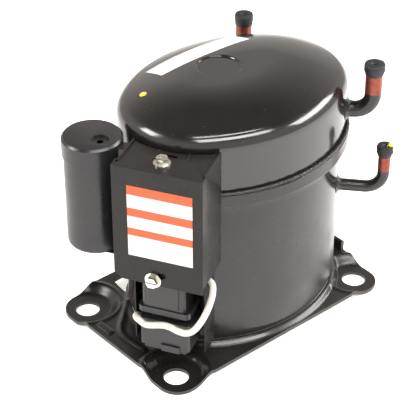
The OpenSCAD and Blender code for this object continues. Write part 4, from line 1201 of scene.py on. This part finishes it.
def soft_light(name, azimuth, elevation, size, power, aim):
    """An area light in a direction from the aim point, facing it."""
    data = bpy.data.lights.new(name, "AREA")
    data.shape = "RECTANGLE"
    data.size, data.size_y = size
    data.energy = power
    obj = bpy.data.objects.new(name, data)
    az, el = math.radians(azimuth), math.radians(elevation)
    way = np.array([math.cos(el) * math.cos(az), math.cos(el) * math.sin(az), math.sin(el)])
    obj.location = np.asarray(aim) + way * LIGHT_REACH
    turn = obj.location - aim
    obj.rotation_euler = turn.to_track_quat("Z", "Y").to_euler()
    bpy.context.scene.collection.objects.link(obj)


# Name, azimuth and elevation in degrees, width and height in metres, share of the key power
LIGHTS = (("Right Window", -30, 31, (1.25, 0.5), 0.46),
          ("Shoulder Strip", -102, 52, (1.5, 0.4), 0.42),
          ("Upper Strip", -98, 74, (1.1, 0.14), 0.12),
          ("Left Window", 152, 33, (0.6, 0.55), 0.26))


class COMPRESSOR_OT_stage(bpy.types.Operator):
    """Pale floor, soft lights and the camera"""
    bl_idname = "compressor.stage"
    bl_label = "Stage"

    def execute(self, context):
        stage = context.scene.compressor_stage
        scene = context.scene
        aim = bpy.data.objects.new("Aim", None)
        aim.location = (0.0, 0.0, 0.1)
        scene.collection.objects.link(aim)
        scene.view_settings.view_transform = "Standard"
        self.floor(stage)
        self.world(scene)
        for name, azimuth, elevation, size, share in LIGHTS:
            soft_light(name, azimuth, elevation, size, stage.key_power * share, aim.location)
        self.camera(scene, stage)
        return {"FINISHED"}

    @staticmethod
    def floor(stage):
        """A wide flat sheet just under the feet."""
        half = 3000.0
        span = np.linspace(-half, half, 5)
        x, y = np.meshgrid(span, span, indexing="ij")
        sheet = np.dstack([x, y, np.full(x.shape, -0.05)])
        mesh = mesh_from_grids("Floor", [(sheet, False, False)])
        f = Finish("Pale Floor", (stage.floor_tone,) * 3, 0.55)
        f.shader.inputs["Emission Color"].default_value = (1.0, 0.95, 0.9, 1)
        f.shader.inputs["Emission Strength"].default_value = 0.7
        mesh.materials.append(f.material)
        obj = bpy.data.objects.new("Floor", mesh)
        bpy.context.scene.collection.objects.link(obj)
        if mesh.polygons[0].normal.z < 0:
            mesh.flip_normals()

    @staticmethod
    def world(scene):
        """Even white light near the horizon that darkens overhead."""
        world = bpy.data.worlds.new("Studio")
        world.use_nodes = True
        tree = world.node_tree
        place = tree.nodes.new("ShaderNodeTexCoord").outputs["Generated"]
        parts = tree.nodes.new("ShaderNodeSeparateXYZ")
        tree.links.new(place, parts.inputs[0])
        tone = spread(tree, parts.outputs[2], 0.4, 0.84, 1.0, 0.05)
        tree.links.new(tone, tree.nodes["Background"].inputs["Strength"])
        tree.nodes["Background"].inputs["Color"].default_value = (1.0, 0.93, 0.87, 1)
        scene.world = world

    @staticmethod
    def camera(scene, stage):
        """A long lens looking down on the terminal box's corner."""
        data = bpy.data.cameras.new("Camera")
        data.lens = stage.lens
        data.sensor_width = 36
        data.clip_end = 20
        camera = bpy.data.objects.new("Camera", data)
        camera.location = CAMERA_AT
        turn = camera.location - mathutils.Vector(CAMERA_AIM)
        camera.rotation_euler = turn.to_track_quat("Z", "Y").to_euler()
        scene.collection.objects.link(camera)
        scene.camera = camera


class COMPRESSOR_PT_panel(bpy.types.Panel):
    """Buttons for every group of pieces"""
    bl_idname = "COMPRESSOR_PT_panel"
    bl_label = "Compressor"
    bl_space_type = "VIEW_3D"
    bl_region_type = "UI"
    bl_category = "Compressor"

    def draw(self, context):
        for group in (context.scene.compressor_finish, context.scene.compressor_sizes,
                      context.scene.compressor_stage):
            for label in group.bl_rna.properties.keys():
                if label not in ("rna_type", "name"):
                    self.layout.prop(group, label)
        for operator in OPERATORS:
            self.layout.operator(operator.bl_idname)


OPERATORS = (
    COMPRESSOR_OT_shells, COMPRESSOR_OT_weld_bead, COMPRESSOR_OT_base_plate, COMPRESSOR_OT_tubes,
    COMPRESSOR_OT_plugs, COMPRESSOR_OT_terminal_box, COMPRESSOR_OT_relay, COMPRESSOR_OT_lead,
    COMPRESSOR_OT_capacitor, COMPRESSOR_OT_labels, COMPRESSOR_OT_pump, COMPRESSOR_OT_stage)
CLASSES = (CompressorFinish, CompressorSizes, CompressorStage) + OPERATORS + (COMPRESSOR_PT_panel,)


def register():
    """Registers the classes and puts the settings on the scene."""
    for item in CLASSES:
        bpy.utils.register_class(item)
    bpy.types.Scene.compressor_finish = bpy.props.PointerProperty(type=CompressorFinish)
    bpy.types.Scene.compressor_sizes = bpy.props.PointerProperty(type=CompressorSizes)
    bpy.types.Scene.compressor_stage = bpy.props.PointerProperty(type=CompressorStage)


def unregister():
    """Takes the settings and the classes away again."""
    del bpy.types.Scene.compressor_stage
    del bpy.types.Scene.compressor_sizes
    del bpy.types.Scene.compressor_finish
    for item in reversed(CLASSES):
        bpy.utils.unregister_class(item)


def main():
    """Builds the whole object."""
    register()
    for operator in OPERATORS:
        group, name = operator.bl_idname.split(".")
        getattr(getattr(bpy.ops, group), name)()


if __name__ == "__main__":
    main()
